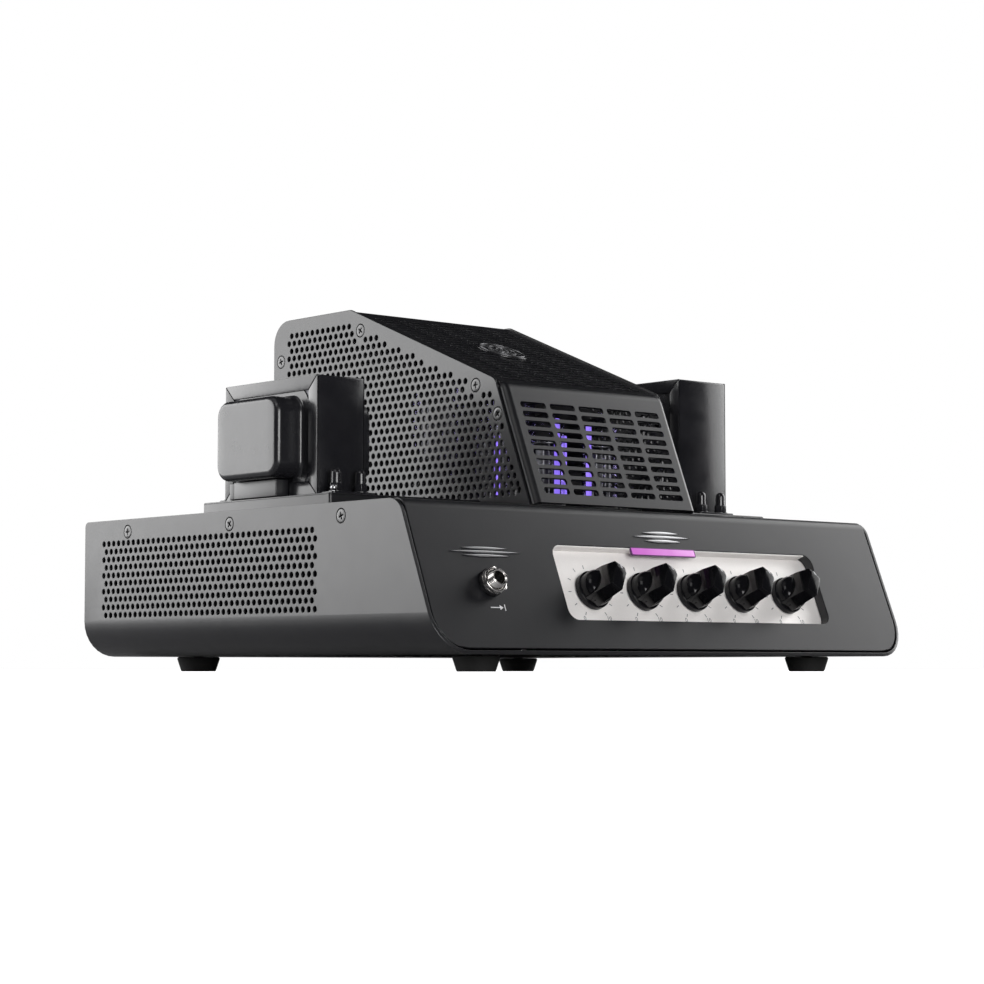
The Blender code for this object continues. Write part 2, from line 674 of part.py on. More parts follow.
def make_tray():
    """Shallow upturned tray that carries the transformers and the valve sockets."""
    low = DECK_TOP + GAP
    bm = pressed((-TRAY_HALF, TRAY_HALF), TRAY_Y, (low, TRAY_TOP))
    tray = add_object("transformer_tray", bm, BLACK_COAT)
    bm = bmesh.new()
    inside_y = (TRAY_Y[0] + SHEET, TRAY_Y[1] - SHEET)
    add_box(bm, around(0, TRAY_HALF - SHEET), inside_y, (low - MM, TRAY_TOP - SHEET))
    combine(tray, bm, "DIFFERENCE")
    bm = bmesh.new()
    for radius, places in ((PREAMP_SOCKET_RADIUS, PREAMP_VALVES),
                           (POWER_SOCKET_RADIUS, POWER_VALVES)):
        for place in places:
            add_prism(bm, circle(radius + 0.5 * MM, 16, place), TRAY_TOP - 3 * MM,
                      TRAY_TOP + MM)
    combine(tray, bm, "DIFFERENCE")


def make_socket_board():
    """Board under the tray with the five valve sockets soldered to it."""
    low = DECK_TOP + 2 * GAP
    bm = pressed(around(0, 56 * MM), (-57 * MM, 37 * MM), (low, low + BOARD_SHEET))
    board = add_object("valve_socket_board", bm, BOARD_GREEN)
    sockets = bmesh.new()
    for radius, places in ((PREAMP_SOCKET_RADIUS, PREAMP_VALVES),
                           (POWER_SOCKET_RADIUS, POWER_VALVES)):
        for place in places:
            add_prism(sockets, circle(radius, 16, place), low + MM, SOCKET_TOP)
    combine(board, sockets, "UNION")


def make_preamp_valve(name, place):
    base = SOCKET_TOP + GAP
    profile = [(0, base), (8.5 * MM, base), (10.2 * MM, base + 3 * MM),
               (10.2 * MM, base + 40 * MM), (8.6 * MM, base + 45 * MM),
               (4.0 * MM, base + 48 * MM), (1.4 * MM, base + 51 * MM), (0, base + 53 * MM)]
    bm = bmesh.new()
    add_turned(bm, profile, 16)
    valve = add_object(name, bm, GLASS, location=(*place, 0))
    smooth(valve, 50)


def make_power_valve(name, place):
    base = SOCKET_TOP + GAP
    profile = [(0, base), (16.0 * MM, base), (16.0 * MM, base + 14 * MM),
               (13.6 * MM, base + 15 * MM), (16.0 * MM, base + 30 * MM),
               (16.0 * MM, base + 62 * MM), (14.0 * MM, base + 70 * MM),
               (8.0 * MM, base + 76 * MM), (0, base + 78 * MM)]
    bm = bmesh.new()
    add_turned(bm, profile, 16)
    valve = add_object(name, bm, GLASS, location=(*place, 0))
    smooth(valve, 50)


# ---------------------------------------------------------------- transformers

def make_transformer_cover(name, x_range, top):
    """Folded cover, open at both ends inside narrow flanges, with bolted feet."""
    low = TRAY_TOP + GAP
    bm = pressed(x_range, CORE_Y, (low, top))
    cover = add_object(name, bm, GLOSS_BLACK)
    feet = bmesh.new()
    middle = sum(x_range) / 2
    for y_range in ((CORE_Y[0] - 12 * MM, CORE_Y[0] + 0.6 * MM),
                    (CORE_Y[1] - 0.6 * MM, CORE_Y[1] + 8 * MM)):
        add_box(feet, around(middle, 14 * MM), y_range, (low, low + SHEET))
    combine(cover, feet, "UNION")
    nuts = bmesh.new()
    for step in (-8 * MM, 8 * MM):
        for y in (CORE_Y[0] - 6.5 * MM, CORE_Y[1] + 4 * MM):
            spot = low + 0.5 * SHEET
            profile = [(0, spot), (3.6 * MM, spot), (3.6 * MM, spot + 4.5 * MM),
                       (2.8 * MM, spot + 5.5 * MM), (2.6 * MM, spot + 10 * MM),
                       (1.4 * MM, spot + 12.3 * MM), (0, spot + 13 * MM)]
            add_turned(nuts, profile, 8, (middle + step, y))
    combine(cover, nuts, "UNION")
    hollow = bmesh.new()
    inside = (x_range[0] + FRAME_SHEET, x_range[1] - FRAME_SHEET)
    inside_y = (CORE_Y[0] + FRAME_SHEET, CORE_Y[1] - FRAME_SHEET)
    add_box(hollow, inside, inside_y, (low + FRAME_SHEET, top - FRAME_SHEET))
    combine(cover, hollow, "DIFFERENCE")
    mouth = bmesh.new()
    mouth_y = (CORE_Y[0] + FRAME_FLANGE, CORE_Y[1] - FRAME_FLANGE)
    add_box(mouth, (x_range[0] - MM, x_range[1] + MM), mouth_y,
            (low + FRAME_FLANGE, top - FRAME_FLANGE))
    combine(cover, mouth, "DIFFERENCE")


def make_core(name, x_range, top):
    """Lamination stack inside the cover."""
    inset = FRAME_SHEET + GAP
    low = TRAY_TOP + GAP
    bm = pressed((x_range[0] + inset, x_range[1] - inset), (CORE_Y[0] + inset, CORE_Y[1] - inset),
                 (low + inset, top - inset))
    add_object(name, bm, LAMINATION)


def make_bell(name, x_range, top, side):
    """Drawn end bell over the winding; its open back faces the core."""
    root = x_range[0] if side < 0 else x_range[1]
    back = root - side * FRAME_SHEET
    front = root + side * BELL_REACH
    z_range = (TRAY_TOP + GAP + BELL_LOW, top - BELL_HIGH)
    bm = pressed(sorted((back, front)), BELL_Y, z_range)
    front_edges = [edge for edge in bm.edges
                   if all(abs(v.co.x - back) > MM for v in edge.verts)]
    long_edges = [edge for edge in bm.edges if abs(edge.verts[0].co.x - edge.verts[1].co.x) > MM]
    bmesh.ops.bevel(bm, geom=front_edges + long_edges, offset=5.5 * MM, segments=3,
                    affect="EDGES", profile=0.5)
    bell = add_object(name, bm, GLOSS_BLACK)
    wall = 1.2 * MM
    rim = 2.2 * MM
    inner_x = sorted((back - side * MM, front - side * wall))
    bm = pressed(inner_x, (BELL_Y[0] + rim, BELL_Y[1] - rim), (z_range[0] + rim, z_range[1] - rim))
    edges = [edge for edge in bm.edges if all(abs(v.co.x - back) > 1.5 * MM for v in edge.verts)]
    bmesh.ops.bevel(bm, geom=edges, offset=3.5 * MM, segments=1, affect="EDGES")
    combine(bell, bm, "DIFFERENCE")
    smooth(bell)


def make_transformer(prefix, x_range, top):
    make_transformer_cover(prefix + "_transformer_cover", x_range, top)
    make_core(prefix + "_transformer_core", x_range, top)
    make_bell(prefix + "_transformer_left_bell", x_range, top, -1)
    make_bell(prefix + "_transformer_right_bell", x_range, top, 1)


def make_lead_box():
    """Small box under the left outer bell where the leads go down."""
    low = TRAY_TOP + GAP
    bm = pressed((LEFT_X[0] - 8.4 * MM, LEFT_X[0] - GAP), (-12 * MM, 31 * MM),
                 (low, low + 9.2 * MM))
    add_object("left_lead_box", bm, BLACK_COAT)


# ---------------------------------------------------------------- inside and rear

def make_main_board():
    """Main circuit board on pillars, with its tall parts soldered on."""
    low = 24.0 * MM
    floor = CASE_BOTTOM + WRAP_SHEET + GAP
    bm = pressed(around(0, 148 * MM), (-112 * MM, 132 * MM), (low, low + BOARD_SHEET))
    board = add_object("main_board", bm, BOARD_GREEN)
    bm = bmesh.new()
    for x in (-135 * MM, 0, 135 * MM):
        for y in (-100 * MM, 120 * MM):
            add_prism(bm, circle(3 * MM, 8, (x, y)), floor, low + 0.5 * MM)
    top = low + 1 * MM
    for x in (-60 * MM, -30 * MM, 0.0):
        add_prism(bm, circle(11 * MM, 14, (x, 60 * MM)), top, top + 38 * MM)
    add_box(bm, around(70 * MM, 30 * MM), around(50 * MM, 10 * MM), (top, top + 34 * MM))
    add_box(bm, around(-90 * MM, 16 * MM), around(-40 * MM, 22 * MM), (top, top + 16 * MM))
    add_box(bm, around(BUTTON_X, 5 * MM), around(126 * MM, 4 * MM), (top, REAR_Z - 5 * MM))
    combine(board, bm, "UNION")


def make_mains_inlet():
    outside = REAR_Y + GAP
    bm = pressed(around(INLET_X, 16 * MM), (outside, outside + 1.6 * MM), around(REAR_Z, 12.5 * MM))
    inlet = add_object("mains_inlet", bm, PLASTIC)
    bm = pressed(around(INLET_X, 13.5 * MM), (REAR_Y - 18 * MM, outside + MM),
                 around(REAR_Z, 9.9 * MM))
    combine(inlet, bm, "UNION")
    bm = bmesh.new()
    mouth = rounded_rectangle(around(INLET_X, 11.8 * MM), around(REAR_Z, 8.0 * MM), 2.5 * MM, 2)
    add_prism(bm, mouth, REAR_Y - 14 * MM, outside + 3 * MM, "Y")
    combine(inlet, bm, "DIFFERENCE")


def make_rocker_switch(name, x):
    """Switch housing with a bezel, and the rocker that tips in it."""
    outside = REAR_Y + GAP
    bm = pressed(around(x, 7.8 * MM), (outside, outside + 1.6 * MM), around(REAR_Z, 11.2 * MM))
    body = add_object(name + "_switch", bm, PLASTIC)
    bm = pressed(around(x, 6.5 * MM), (REAR_Y - 16 * MM, outside + MM), around(REAR_Z, 9.9 * MM))
    combine(body, bm, "UNION")
    bm = pressed(around(x, ROCKER_SIZE[0] / 2 + 0.6 * MM), (REAR_Y - 9.5 * MM, outside + 3 * MM),
                 around(REAR_Z, ROCKER_SIZE[1] / 2 + 1.1 * MM))
    combine(body, bm, "DIFFERENCE")
    # The rocker's face is a shallow V; its pivot is behind the panel.
    pivot = REAR_Y - 3.8 * MM
    half = ROCKER_SIZE[1] / 2
    face = [(-4.0 * MM, -4 * MM), (0.5 * MM, -half), (4.6 * MM, -half), (3.6 * MM, 0),
            (4.6 * MM, half), (0.5 * MM, half), (-4.0 * MM, 4 * MM)]
    bm = bmesh.new()
    add_prism(bm, face, -ROCKER_SIZE[0] / 2, ROCKER_SIZE[0] / 2, "X")
    add_object(name + "_rocker", bm, PLASTIC, location=(x, pivot, REAR_Z),
               rotation=(ROCKER_TILT, 0, 0))


def make_rear_round(name, x, outer, hole, inner_depth, bore, finish, segments=16):
    """Round fitting: a flanged face outside the rear panel and a barrel inside it."""
    bm = bmesh.new()
    outside = GAP
    profile = [(0, -inner_depth), (hole, -inner_depth), (hole, outside), (outer, outside),
               (outer, outside + 1.6 * MM), (0, outside + 1.6 * MM)]
    add_turned(bm, profile, segments)
    turn = (-math.pi / 2, 0, 0)
    fitting = add_object(name, bm, finish, location=(x, REAR_Y, REAR_Z), rotation=turn)
    if bore:
        bm = bmesh.new()
        add_prism(bm, circle(bore, segments), -inner_depth + 3 * MM, 5 * MM)
        combine(fitting, bm, "DIFFERENCE")
    smooth(fitting)


def make_speaker_jack():
    """Jack on a square plate; its body passes through a square opening."""
    outside = REAR_Y + GAP
    bm = pressed(around(SPEAKER_X, 12.5 * MM), (outside, outside + 1.6 * MM),
                 around(REAR_Z, 12.5 * MM))
    jack = add_object("speaker_jack", bm, PLASTIC)
    bm = pressed(around(SPEAKER_X, 9.9 * MM), (REAR_Y - 24 * MM, outside + MM),
                 around(REAR_Z, 9.9 * MM))
    combine(jack, bm, "UNION")
    bm = bmesh.new()
    add_prism(bm, circle(PLUG_BORE, 16, (SPEAKER_X, REAR_Z)), REAR_Y - 21 * MM, REAR_Y + 5 * MM,
              "Y")
    combine(jack, bm, "DIFFERENCE")


def make_button():
    """Push button that slides straight in."""
    half = BUTTON_SIZE / 2
    bm = pressed(around(0, half), (-12 * MM, REAR_REACH - REAR_Y), around(0, half))
    add_object("ground_lift_button", bm, PLASTIC, location=(BUTTON_X, REAR_Y, REAR_Z))


# ---------------------------------------------------------------- build

def clear_scene():
    for thing in list(bpy.data.objects):
        bpy.data.objects.remove(thing, do_unlink=True)


def build():
    clear_scene()
    panel = make_panel_frame()
    bpy.context.view_layer.update()
    make_case_wrap()
    make_chassis(panel)
    for name, place in foot_places().items():
        make_foot(name, place)
    for side, word in ((-1, "left"), (1, "right")):
        for number, y in enumerate(SIDE_SCREW_Y, 1):
            make_side_screw(f"side_screw_{word}_{number}", side, CASE_WIDTH / 2, y, SIDE_SCREW_Z,
                            CASE_SCREW_LENGTH)
        make_cage_side(f"cage_side_{word}", side)
        for number, (y, z) in enumerate(CAGE_SCREWS, 1):
            make_side_screw(f"cage_screw_{word}_{number}", side, CAGE_HALF, y, z,
                            CAGE_SCREW_LENGTH)
    make_faceplate(panel)
    make_light_bar(panel)
    make_control_board(panel)
    for name, x in knob_places().items():
        make_knob(name, x, panel)
    make_input_jack(panel)
    make_cage_cover()
    make_tray()
    make_socket_board()
    for number, place in enumerate(PREAMP_VALVES, 1):
        make_preamp_valve(f"preamp_valve_{number}", place)
    for number, place in enumerate(POWER_VALVES, 1):
        make_power_valve(f"power_valve_{number}", place)
    make_transformer("output", LEFT_X, LEFT_TOP)
    make_transformer("mains", RIGHT_X, RIGHT_TOP)
    make_lead_box()
    make_main_board()
    make_mains_inlet()
    make_rocker_switch("power", POWER_X)
    make_rocker_switch("standby", STANDBY_X)
    make_rear_round("fuse_holder", FUSE_X, 7.5 * MM, 6.0 * MM, 26 * MM, 0, PLASTIC)
    make_speaker_jack()
    make_rear_round("di_connector", DI_X, 14.0 * MM, 11.6 * MM, 20 * MM, 8.5 * MM, DARK_SCREW)
    make_button()


build()
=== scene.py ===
"""Looks of the valve amplifier head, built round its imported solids.

Pieces are drawn in millimetres in the frame of the solids, with +X right, +Y back, +Z up and the
origin on the floor, and brought to metres when they are added. Materials, lights and camera are in
metres.
"""
import math

import bmesh
import bpy
from mathutils import Matrix, Vector


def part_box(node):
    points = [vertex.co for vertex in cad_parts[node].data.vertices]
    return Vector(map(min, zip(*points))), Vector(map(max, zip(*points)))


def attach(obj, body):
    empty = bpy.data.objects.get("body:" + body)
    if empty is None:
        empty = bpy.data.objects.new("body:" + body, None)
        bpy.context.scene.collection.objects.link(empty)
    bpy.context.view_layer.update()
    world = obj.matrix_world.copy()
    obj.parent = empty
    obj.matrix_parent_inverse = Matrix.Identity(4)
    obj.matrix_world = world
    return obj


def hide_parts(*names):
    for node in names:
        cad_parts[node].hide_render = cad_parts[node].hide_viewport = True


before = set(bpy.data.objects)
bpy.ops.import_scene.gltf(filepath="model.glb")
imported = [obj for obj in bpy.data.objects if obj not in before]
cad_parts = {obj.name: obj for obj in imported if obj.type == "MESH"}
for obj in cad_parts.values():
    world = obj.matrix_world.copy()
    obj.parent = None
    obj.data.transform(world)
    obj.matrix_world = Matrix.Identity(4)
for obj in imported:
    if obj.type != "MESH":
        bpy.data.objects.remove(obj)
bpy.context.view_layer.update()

MM = 0.001
ROOT = "amplifier"


def box(node):
    """Lowest and highest corner of a solid, in millimetres."""
    return [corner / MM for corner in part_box(node)]


def centre_of(node):
    low, high = box(node)
    return (low + high) / 2


# ---------------------------------------------------------------- sizes taken from the frame

WRAP_LOW, WRAP_HIGH = box("case_wrap")
CHASSIS_HIGH = box("chassis")[1]
COVER_LOW, COVER_HIGH = box("cage_cover")
CHEEK_LOW = box("cage_side_left")[0]
CASE_HALF = WRAP_HIGH.x
CASE_BOTTOM = WRAP_LOW.z
DECK = WRAP_HIGH.z
FRONT = WRAP_LOW.y
BACK = WRAP_HIGH.y
REAR_FACE = CHASSIS_HIGH.y
PANEL_HALF = CHASSIS_HIGH.x
LEAN_DEGREES = 22.0
LEAN = math.radians(LEAN_DEGREES)
WRAP_SHEET = 2.0
SHEET = 1.5
EDGE = 0.3                          # rounding of cut sheet edges
JOIN = 1e-4                         # points closer than this are one
SIDE_BEND = 20.0
PANEL_BEND = 7.0
REAR_BEND = 3.0
CORNER = 11.0                       # rounding of the case side at the front of the deck

HOLE_RADIUS = 1.56
HOLE_PITCH = 5.013
ROW_PITCH = 4.444
SCREW_HOLE = 3.75


# ---------------------------------------------------------------- outlines

def circle(radius, segments, centre=(0.0, 0.0)):
    angles = [2 * math.pi * k / segments for k in range(segments)]
    return [(centre[0] + radius * math.cos(a), centre[1] + radius * math.sin(a)) for a in angles]


def arc(centre, radius, start, end, steps):
    """Points of an arc between two angles in degrees."""
    turns = [math.radians(start + (end - start) * k / steps) for k in range(steps + 1)]
    return [(centre[0] + radius * math.cos(a), centre[1] + radius * math.sin(a)) for a in turns]


def fillet(corners, radii, steps=8):
    """Replace each corner of a closed loop that has a radius by an arc."""
    points = []
    count = len(corners)
    for index, radius in enumerate(radii):
        corner = Vector(corners[index])
        if radius == 0:
            points.append(corner)
            continue
        to_last = (Vector(corners[index - 1]) - corner).normalized()
        to_next = (Vector(corners[(index + 1) % count]) - corner).normalized()
        half = to_last.angle(to_next) / 2
        centre = corner + (to_last + to_next).normalized() * radius / math.sin(half)
        start = corner + to_last * radius / math.tan(half) - centre
        end = corner + to_next * radius / math.tan(half) - centre
        first = math.atan2(start.y, start.x)
        turn = math.atan2(end.y, end.x) - first
        turn = (turn + math.pi) % (2 * math.pi) - math.pi
        for step in range(steps + 1):
            angle = first + turn * step / steps
            points.append(centre + radius * Vector((math.cos(angle), math.sin(angle))))
    return [tuple(point) for point in points]


def rectangle(x_range, y_range, radius=0.0, steps=8):
    (x0, x1), (y0, y1) = x_range, y_range
    return fillet([(x0, y0), (x1, y0), (x1, y1), (x0, y1)], [radius] * 4, steps)


def around(centre, half):
    return (centre - half, centre + half)


def offset(corners, distance):
    """Shift an open line of corners to its right by a distance."""
    corners = [Vector(corner) for corner in corners]
    rights = []
    for start, end in zip(corners, corners[1:]):
        along = (end - start).normalized()
        rights.append(Vector((along.y, -along.x)))
    moved = [corners[0] + rights[0] * distance]
    for corner, right, next_right in zip(corners[1:], rights, rights[1:]):
        blend = (right + next_right).normalized()
        moved.append(corner + blend * distance / blend.dot(right))
    moved.append(corners[-1] + rights[-1] * distance)
    return moved


# ---------------------------------------------------------------- sheets

def turning(loop):
    """Twice the signed area of a loop, positive when it runs anticlockwise."""
    return sum(a[0] * b[1] - b[0] * a[1] for a, b in zip(loop, loop[1:] + loop[:1]))


def new_object(name, data):
    item = bpy.data.objects.new(name, data)
    bpy.context.scene.collection.objects.link(item)
    return item


def filled(curve):
    """Mesh of a closed curve or a text, which is used up."""
    holder = new_object("outline", curve)
    bpy.context.view_layer.update()
    depsgraph = bpy.context.evaluated_depsgraph_get()
    mesh = bpy.data.meshes.new_from_object(holder.evaluated_get(depsgraph))
    bpy.data.objects.remove(holder)
    bpy.data.curves.remove(curve)
    bm = bmesh.new()
    bm.from_mesh(mesh)
    bpy.data.meshes.remove(mesh)
    bmesh.ops.remove_doubles(bm, verts=bm.verts, dist=JOIN)
    return bm


def flat_sheet(outline, holes, thickness, edge=EDGE):
    """Flat sheet with rounded cut edges, in the XY plane with its face at z = 0 and its back below."""
    curve = bpy.data.curves.new("sheet", "CURVE")
    curve.dimensions = "2D"
    curve.fill_mode = "BOTH"
    curve.extrude = thickness / 2 - edge
    curve.bevel_depth = edge
    curve.bevel_resolution = 1
    curve.offset = -edge
    for loop, clockwise in [(outline, True)] + [(hole, False) for hole in holes]:
        loop = list(loop)
        if (turning(loop) < 0) != clockwise:
            loop.reverse()
        spline = curve.splines.new("POLY")
        spline.points.add(len(loop) - 1)
        spline.points.foreach_set("co", [value for x, y in loop for value in (x, y, 0.0, 1.0)])
        spline.use_cyclic_u = True
    bm = filled(curve)
    bmesh.ops.translate(bm, verts=bm.verts, vec=(0, 0, -thickness / 2))
    bmesh.ops.recalc_face_normals(bm, faces=bm.faces)
    return bm


def unroll(corners, radii):
    """Straight and round stretches of a folded line, with the length at which each starts."""
    corners = [Vector(corner) for corner in corners]
    stretches = []
    place = corners[0]
    length = 0.0
    for index in range(1, len(corners)):
        along = (corners[index] - corners[index - 1]).normalized()
        last = index == len(corners) - 1
        trim = 0.0
        if not last:
            after = (corners[index + 1] - corners[index]).normalized()
            turn = math.atan2(along.cross(after), along.dot(after))
            trim = radii[index] * math.tan(abs(turn) / 2)
        end = corners[index] - along * trim
        stretches.append(("line", length, (end - place).length, place, along, 0.0))
        length += (end - place).length
        if not last:
            stretches.append(("bend", length, radii[index] * abs(turn), end, along, turn))
            length += radii[index] * abs(turn)
            place = corners[index] + after * trim
    return stretches, length


def fold(bm, corners, radii, place, steps=8):
    """Bend a flat sheet whose y runs along a line; its thickness goes to the line's right."""
    stretches, _ = unroll(corners, radii)
    for kind, start, span, *_ in stretches:
        if kind == "bend":
            for step in range(steps + 1):
                cut = start + span * step / steps
                geometry = bm.verts[:] + bm.edges[:] + bm.faces[:]
                bmesh.ops.bisect_plane(bm, geom=geometry, dist=JOIN, plane_co=(0, cut, 0),
                                       plane_no=(0, 1, 0))
    for vert in bm.verts:
        across, along, depth = vert.co.x, vert.co.y, -vert.co.z
        for kind, start, span, origin, ahead, turn in stretches:
            if along <= start + span or (kind, start) == stretches[-1][:2]:
                break
        right = Vector((ahead.y, -ahead.x))
        if kind == "line":
            point = origin + ahead * (along - start) + right * depth
        else:
            # The line turns to its right, so the bend's centre is on that side.
            radius = span / abs(turn)
            angle = (along - start) / radius
            spoke = -right * math.cos(angle) + ahead * math.sin(angle)
            point = origin + right * radius + spoke * (radius - depth)
        vert.co = place(across, point)
    bmesh.ops.recalc_face_normals(bm, faces=bm.faces)
    if bm.calc_volume(signed=True) < 0:
        bmesh.ops.reverse_faces(bm, faces=bm.faces)
    return bm


def merge(bm, other, matrix=None):
    """Add another mesh to a mesh, moved by a matrix."""
    if matrix is not None:
        other.transform(matrix)
        if matrix.to_3x3().determinant() < 0:
            bmesh.ops.reverse_faces(other, faces=other.faces)
    mesh = bpy.data.meshes.new("part")
    other.to_mesh(mesh)
    other.free()
    bm.from_mesh(mesh)
    bpy.data.meshes.remove(mesh)


def add_sheet(bm, place, outline, holes, thickness, edge=EDGE):
    """Add a flat sheet to a mesh, at a place given as a matrix."""
    merge(bm, flat_sheet(outline, holes, thickness, edge), place)


def lift(height):
    return Matrix.Translation((0, 0, height))


def tilt(degrees, axis="X"):
    return Matrix.Rotation(math.radians(degrees), 4, axis)


def upright(side, surface):
    """Stand a flat sheet up as a side face: its x runs back, its y up and its face outward."""
    return Matrix(((0, 0, side, side * surface), (1, 0, 0, 0), (0, 1, 0, 0), (0, 0, 0, 1)))


def facing(side, place):
    """Matrix whose Z points out of a side face at a place."""
    return Matrix.Translation(place) @ tilt(90 * side, "Y")


# ---------------------------------------------------------------- solids of revolution, lofts, blocks

def add_turned(bm, profile, segments=32, matrix=None):
    """Turn a profile of (radius, height), which starts and ends on the axis, about Z."""
    turned = bmesh.new()
    rings = []
    for radius, height in profile:
        if radius == 0:
            rings.append([turned.verts.new((0, 0, height))])
        else:
            rings.append([turned.verts.new((x, y, height)) for x, y in circle(radius, segments)])
    for lower, upper in zip(rings, rings[1:]):
        for index in range(segments):
            after = (index + 1) % segments
            if len(lower) == 1:
                turned.faces.new((lower[0], upper[after], upper[index]))
            elif len(upper) == 1:
                turned.faces.new((lower[index], lower[after], upper[0]))
            else:
                turned.faces.new((lower[index], lower[after], upper[after], upper[index]))
    bmesh.ops.remove_doubles(turned, verts=turned.verts, dist=JOIN)
    bmesh.ops.recalc_face_normals(turned, faces=turned.faces)
    merge(bm, turned, matrix)


def add_loft(bm, rings, matrix=None):
    """Join rings of equally many points into one closed skin."""
    loft = bmesh.new()
    rows = [[loft.verts.new(point) for point in ring] for ring in rings]
    for lower, upper in zip(rows, rows[1:]):
        for index in range(len(lower)):
            after = (index + 1) % len(lower)
            loft.faces.new((lower[index], lower[after], upper[after], upper[index]))
    loft.faces.new(rows[0])
    loft.faces.new(rows[-1])
    bmesh.ops.recalc_face_normals(loft, faces=loft.faces)
    merge(bm, loft, matrix)


def add_block(bm, low, high, radius, segments=3, matrix=None):
    """Box with rounded edges."""
    block = bmesh.new()
    bmesh.ops.create_cube(block, size=1.0)
    for vert in block.verts:
        vert.co = [low[k] + (vert.co[k] + 0.5) * (high[k] - low[k]) for k in range(3)]
    bmesh.ops.bevel(block, geom=block.edges[:], offset=radius, segments=segments, affect="EDGES",
                    profile=0.5)
    merge(bm, block, matrix)


def add_hull(bm, points, radius, matrix=None):
    """Convex body through some points, with rounded edges."""
    hull = bmesh.new()
    for point in points:
        hull.verts.new(point)
    bmesh.ops.convex_hull(hull, input=hull.verts)
    bmesh.ops.dissolve_limit(hull, angle_limit=0.02, verts=hull.verts, edges=hull.edges)
    bmesh.ops.recalc_face_normals(hull, faces=hull.faces)
    bmesh.ops.bevel(hull, geom=hull.edges[:], offset=radius, segments=3, affect="EDGES", profile=0.5)
    merge(bm, hull, matrix)


def add_piece(name, bm, finish, nodes=(), body=ROOT, angle=35):
    """Make a piece of a mesh: its finish, the solids it stands for and the body it rides on."""
    mesh = bpy.data.meshes.new(name)
    bm.transform(Matrix.Scale(MM, 4))
    bm.to_mesh(mesh)
    bm.free()
    mesh.shade_smooth()
    mesh.set_sharp_from_angle(angle=math.radians(angle))
    mesh.materials.append(finish)
    piece = new_object(name, mesh)
    if nodes:
        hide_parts(*nodes)
    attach(piece, body)


# ---------------------------------------------------------------- materials

class Nodes:
    """Nodes of a material or a world, laid out from its main node."""

    def __init__(self, owner, main="Principled BSDF"):
        owner.use_nodes = True
        self.tree = owner.node_tree
        self.main = self.tree.nodes[main]

    def feed(self, node, inputs):
        """Give each input, by name or number, a value or the output of another node."""
        for key, value in inputs.items():
            if isinstance(value, bpy.types.NodeSocket):
                self.tree.links.new(value, node.inputs[key])
            else:
                node.inputs[key].default_value = value

    def add(self, kind, output, inputs=None, **settings):
        """Add a node and return one of its outputs."""
        node = self.tree.nodes.new("ShaderNode" + kind)
        for setting, value in settings.items():
            setattr(node, setting, value)
        self.feed(node, inputs or {})
        return node.outputs[output]

    def place(self):
        """The object's own coordinates, in metres."""
        return self.add("TexCoord", "Object")

    def noise(self, scale, detail=3.0, stretch=None):
        place = self.place()
        if stretch:
            place = self.add("Mapping", "Vector", {"Vector": place, "Scale": stretch})
        return self.add("TexNoise", "Fac", {"Vector": place, "Scale": scale, "Detail": detail})

    def remap(self, value, low, high, start=0.3, end=0.7):
        """Spread a value, such as noise that stays near one half, over a range."""
        inputs = {"Value": value, "From Min": start, "From Max": end, "To Min": low, "To Max": high}
        return self.add("MapRange", "Result", inputs)

    def drift(self, scale):
        return self.remap(self.noise(scale), 0.0, 1.0)

    def cloud(self, scale, middle, spread):
        return self.remap(self.noise(scale), middle - spread, middle + spread)

    def mix(self, factor, first, second):
        return self.add("Mix", "Result", {"Factor": factor, "A": first, "B": second}, data_type="RGBA")

    def bump(self, height, distance):
        normal = self.add("Bump", "Normal", {"Height": height, "Distance": distance})
        self.feed(self.main, {"Normal": normal})

    def to_eye(self):
        """One towards the camera and zero for all other light paths."""
        return self.add("LightPath", "Is Camera Ray")


def new_material(name):
    material = bpy.data.materials.new(name)
    return material, Nodes(material)


def opaque(colour):
    return (*colour, 1.0)


def paler(colour, factor, step=0.0):
    return tuple(min(1.0, value * factor + step) for value in colour)


def coated(name, colour, roughness, grain, depth, spread=0.05, specular=0.5):
    """Painted or moulded surface with a fine grain, cloudy gloss and faint colour drift."""
    material, nodes = new_material(name)
    shade = nodes.mix(nodes.drift(35.0), opaque(colour), opaque(paler(colour, 1.25, 0.001)))
    nodes.feed(nodes.main, {"Base Color": shade, "Roughness": nodes.cloud(90.0, roughness, spread),
                            "Specular IOR Level": specular})
    nodes.bump(nodes.noise(grain, 2.0), depth)
    return material


def metal(name, colour, roughness, depth=0.00001, grain=700.0, stretch=None, metallic=1.0):
    """Bare or plated metal: uneven gloss and a fine grain, brushed if the grain is stretched."""
    material, nodes = new_material(name)
    fine = nodes.noise(grain, 3.0, stretch)
    shade = nodes.mix(nodes.remap(fine, 0.0, 1.0), opaque(colour), opaque(paler(colour, 1.08)))
    nodes.feed(nodes.main, {"Base Color": shade, "Roughness": nodes.cloud(120.0, roughness, 0.05),
                            "Metallic": metallic})
    nodes.bump(fine, depth)
    return material


def lit(name, colour, strength, rim):
    """Glowing surface with an even glow that drifts slightly along its length: the light bar's lens, and
    painted highlights in the valves.
    """
    material, nodes = new_material(name)
    # Full strength only towards the eye: the glow hardly lights its surroundings.
    seen = nodes.add("Math", 0, {0: nodes.to_eye(), 1: 0.94 * strength, 2: 0.06 * strength},
                     operation="MULTIPLY_ADD")
    nodes.feed(nodes.main, {"Emission Color": nodes.mix(nodes.drift(60.0), opaque(colour), opaque(rim)),
                            "Emission Strength": seen, "Base Color": (0.02, 0.01, 0.02, 1),
                            "Roughness": 0.35})
    return material


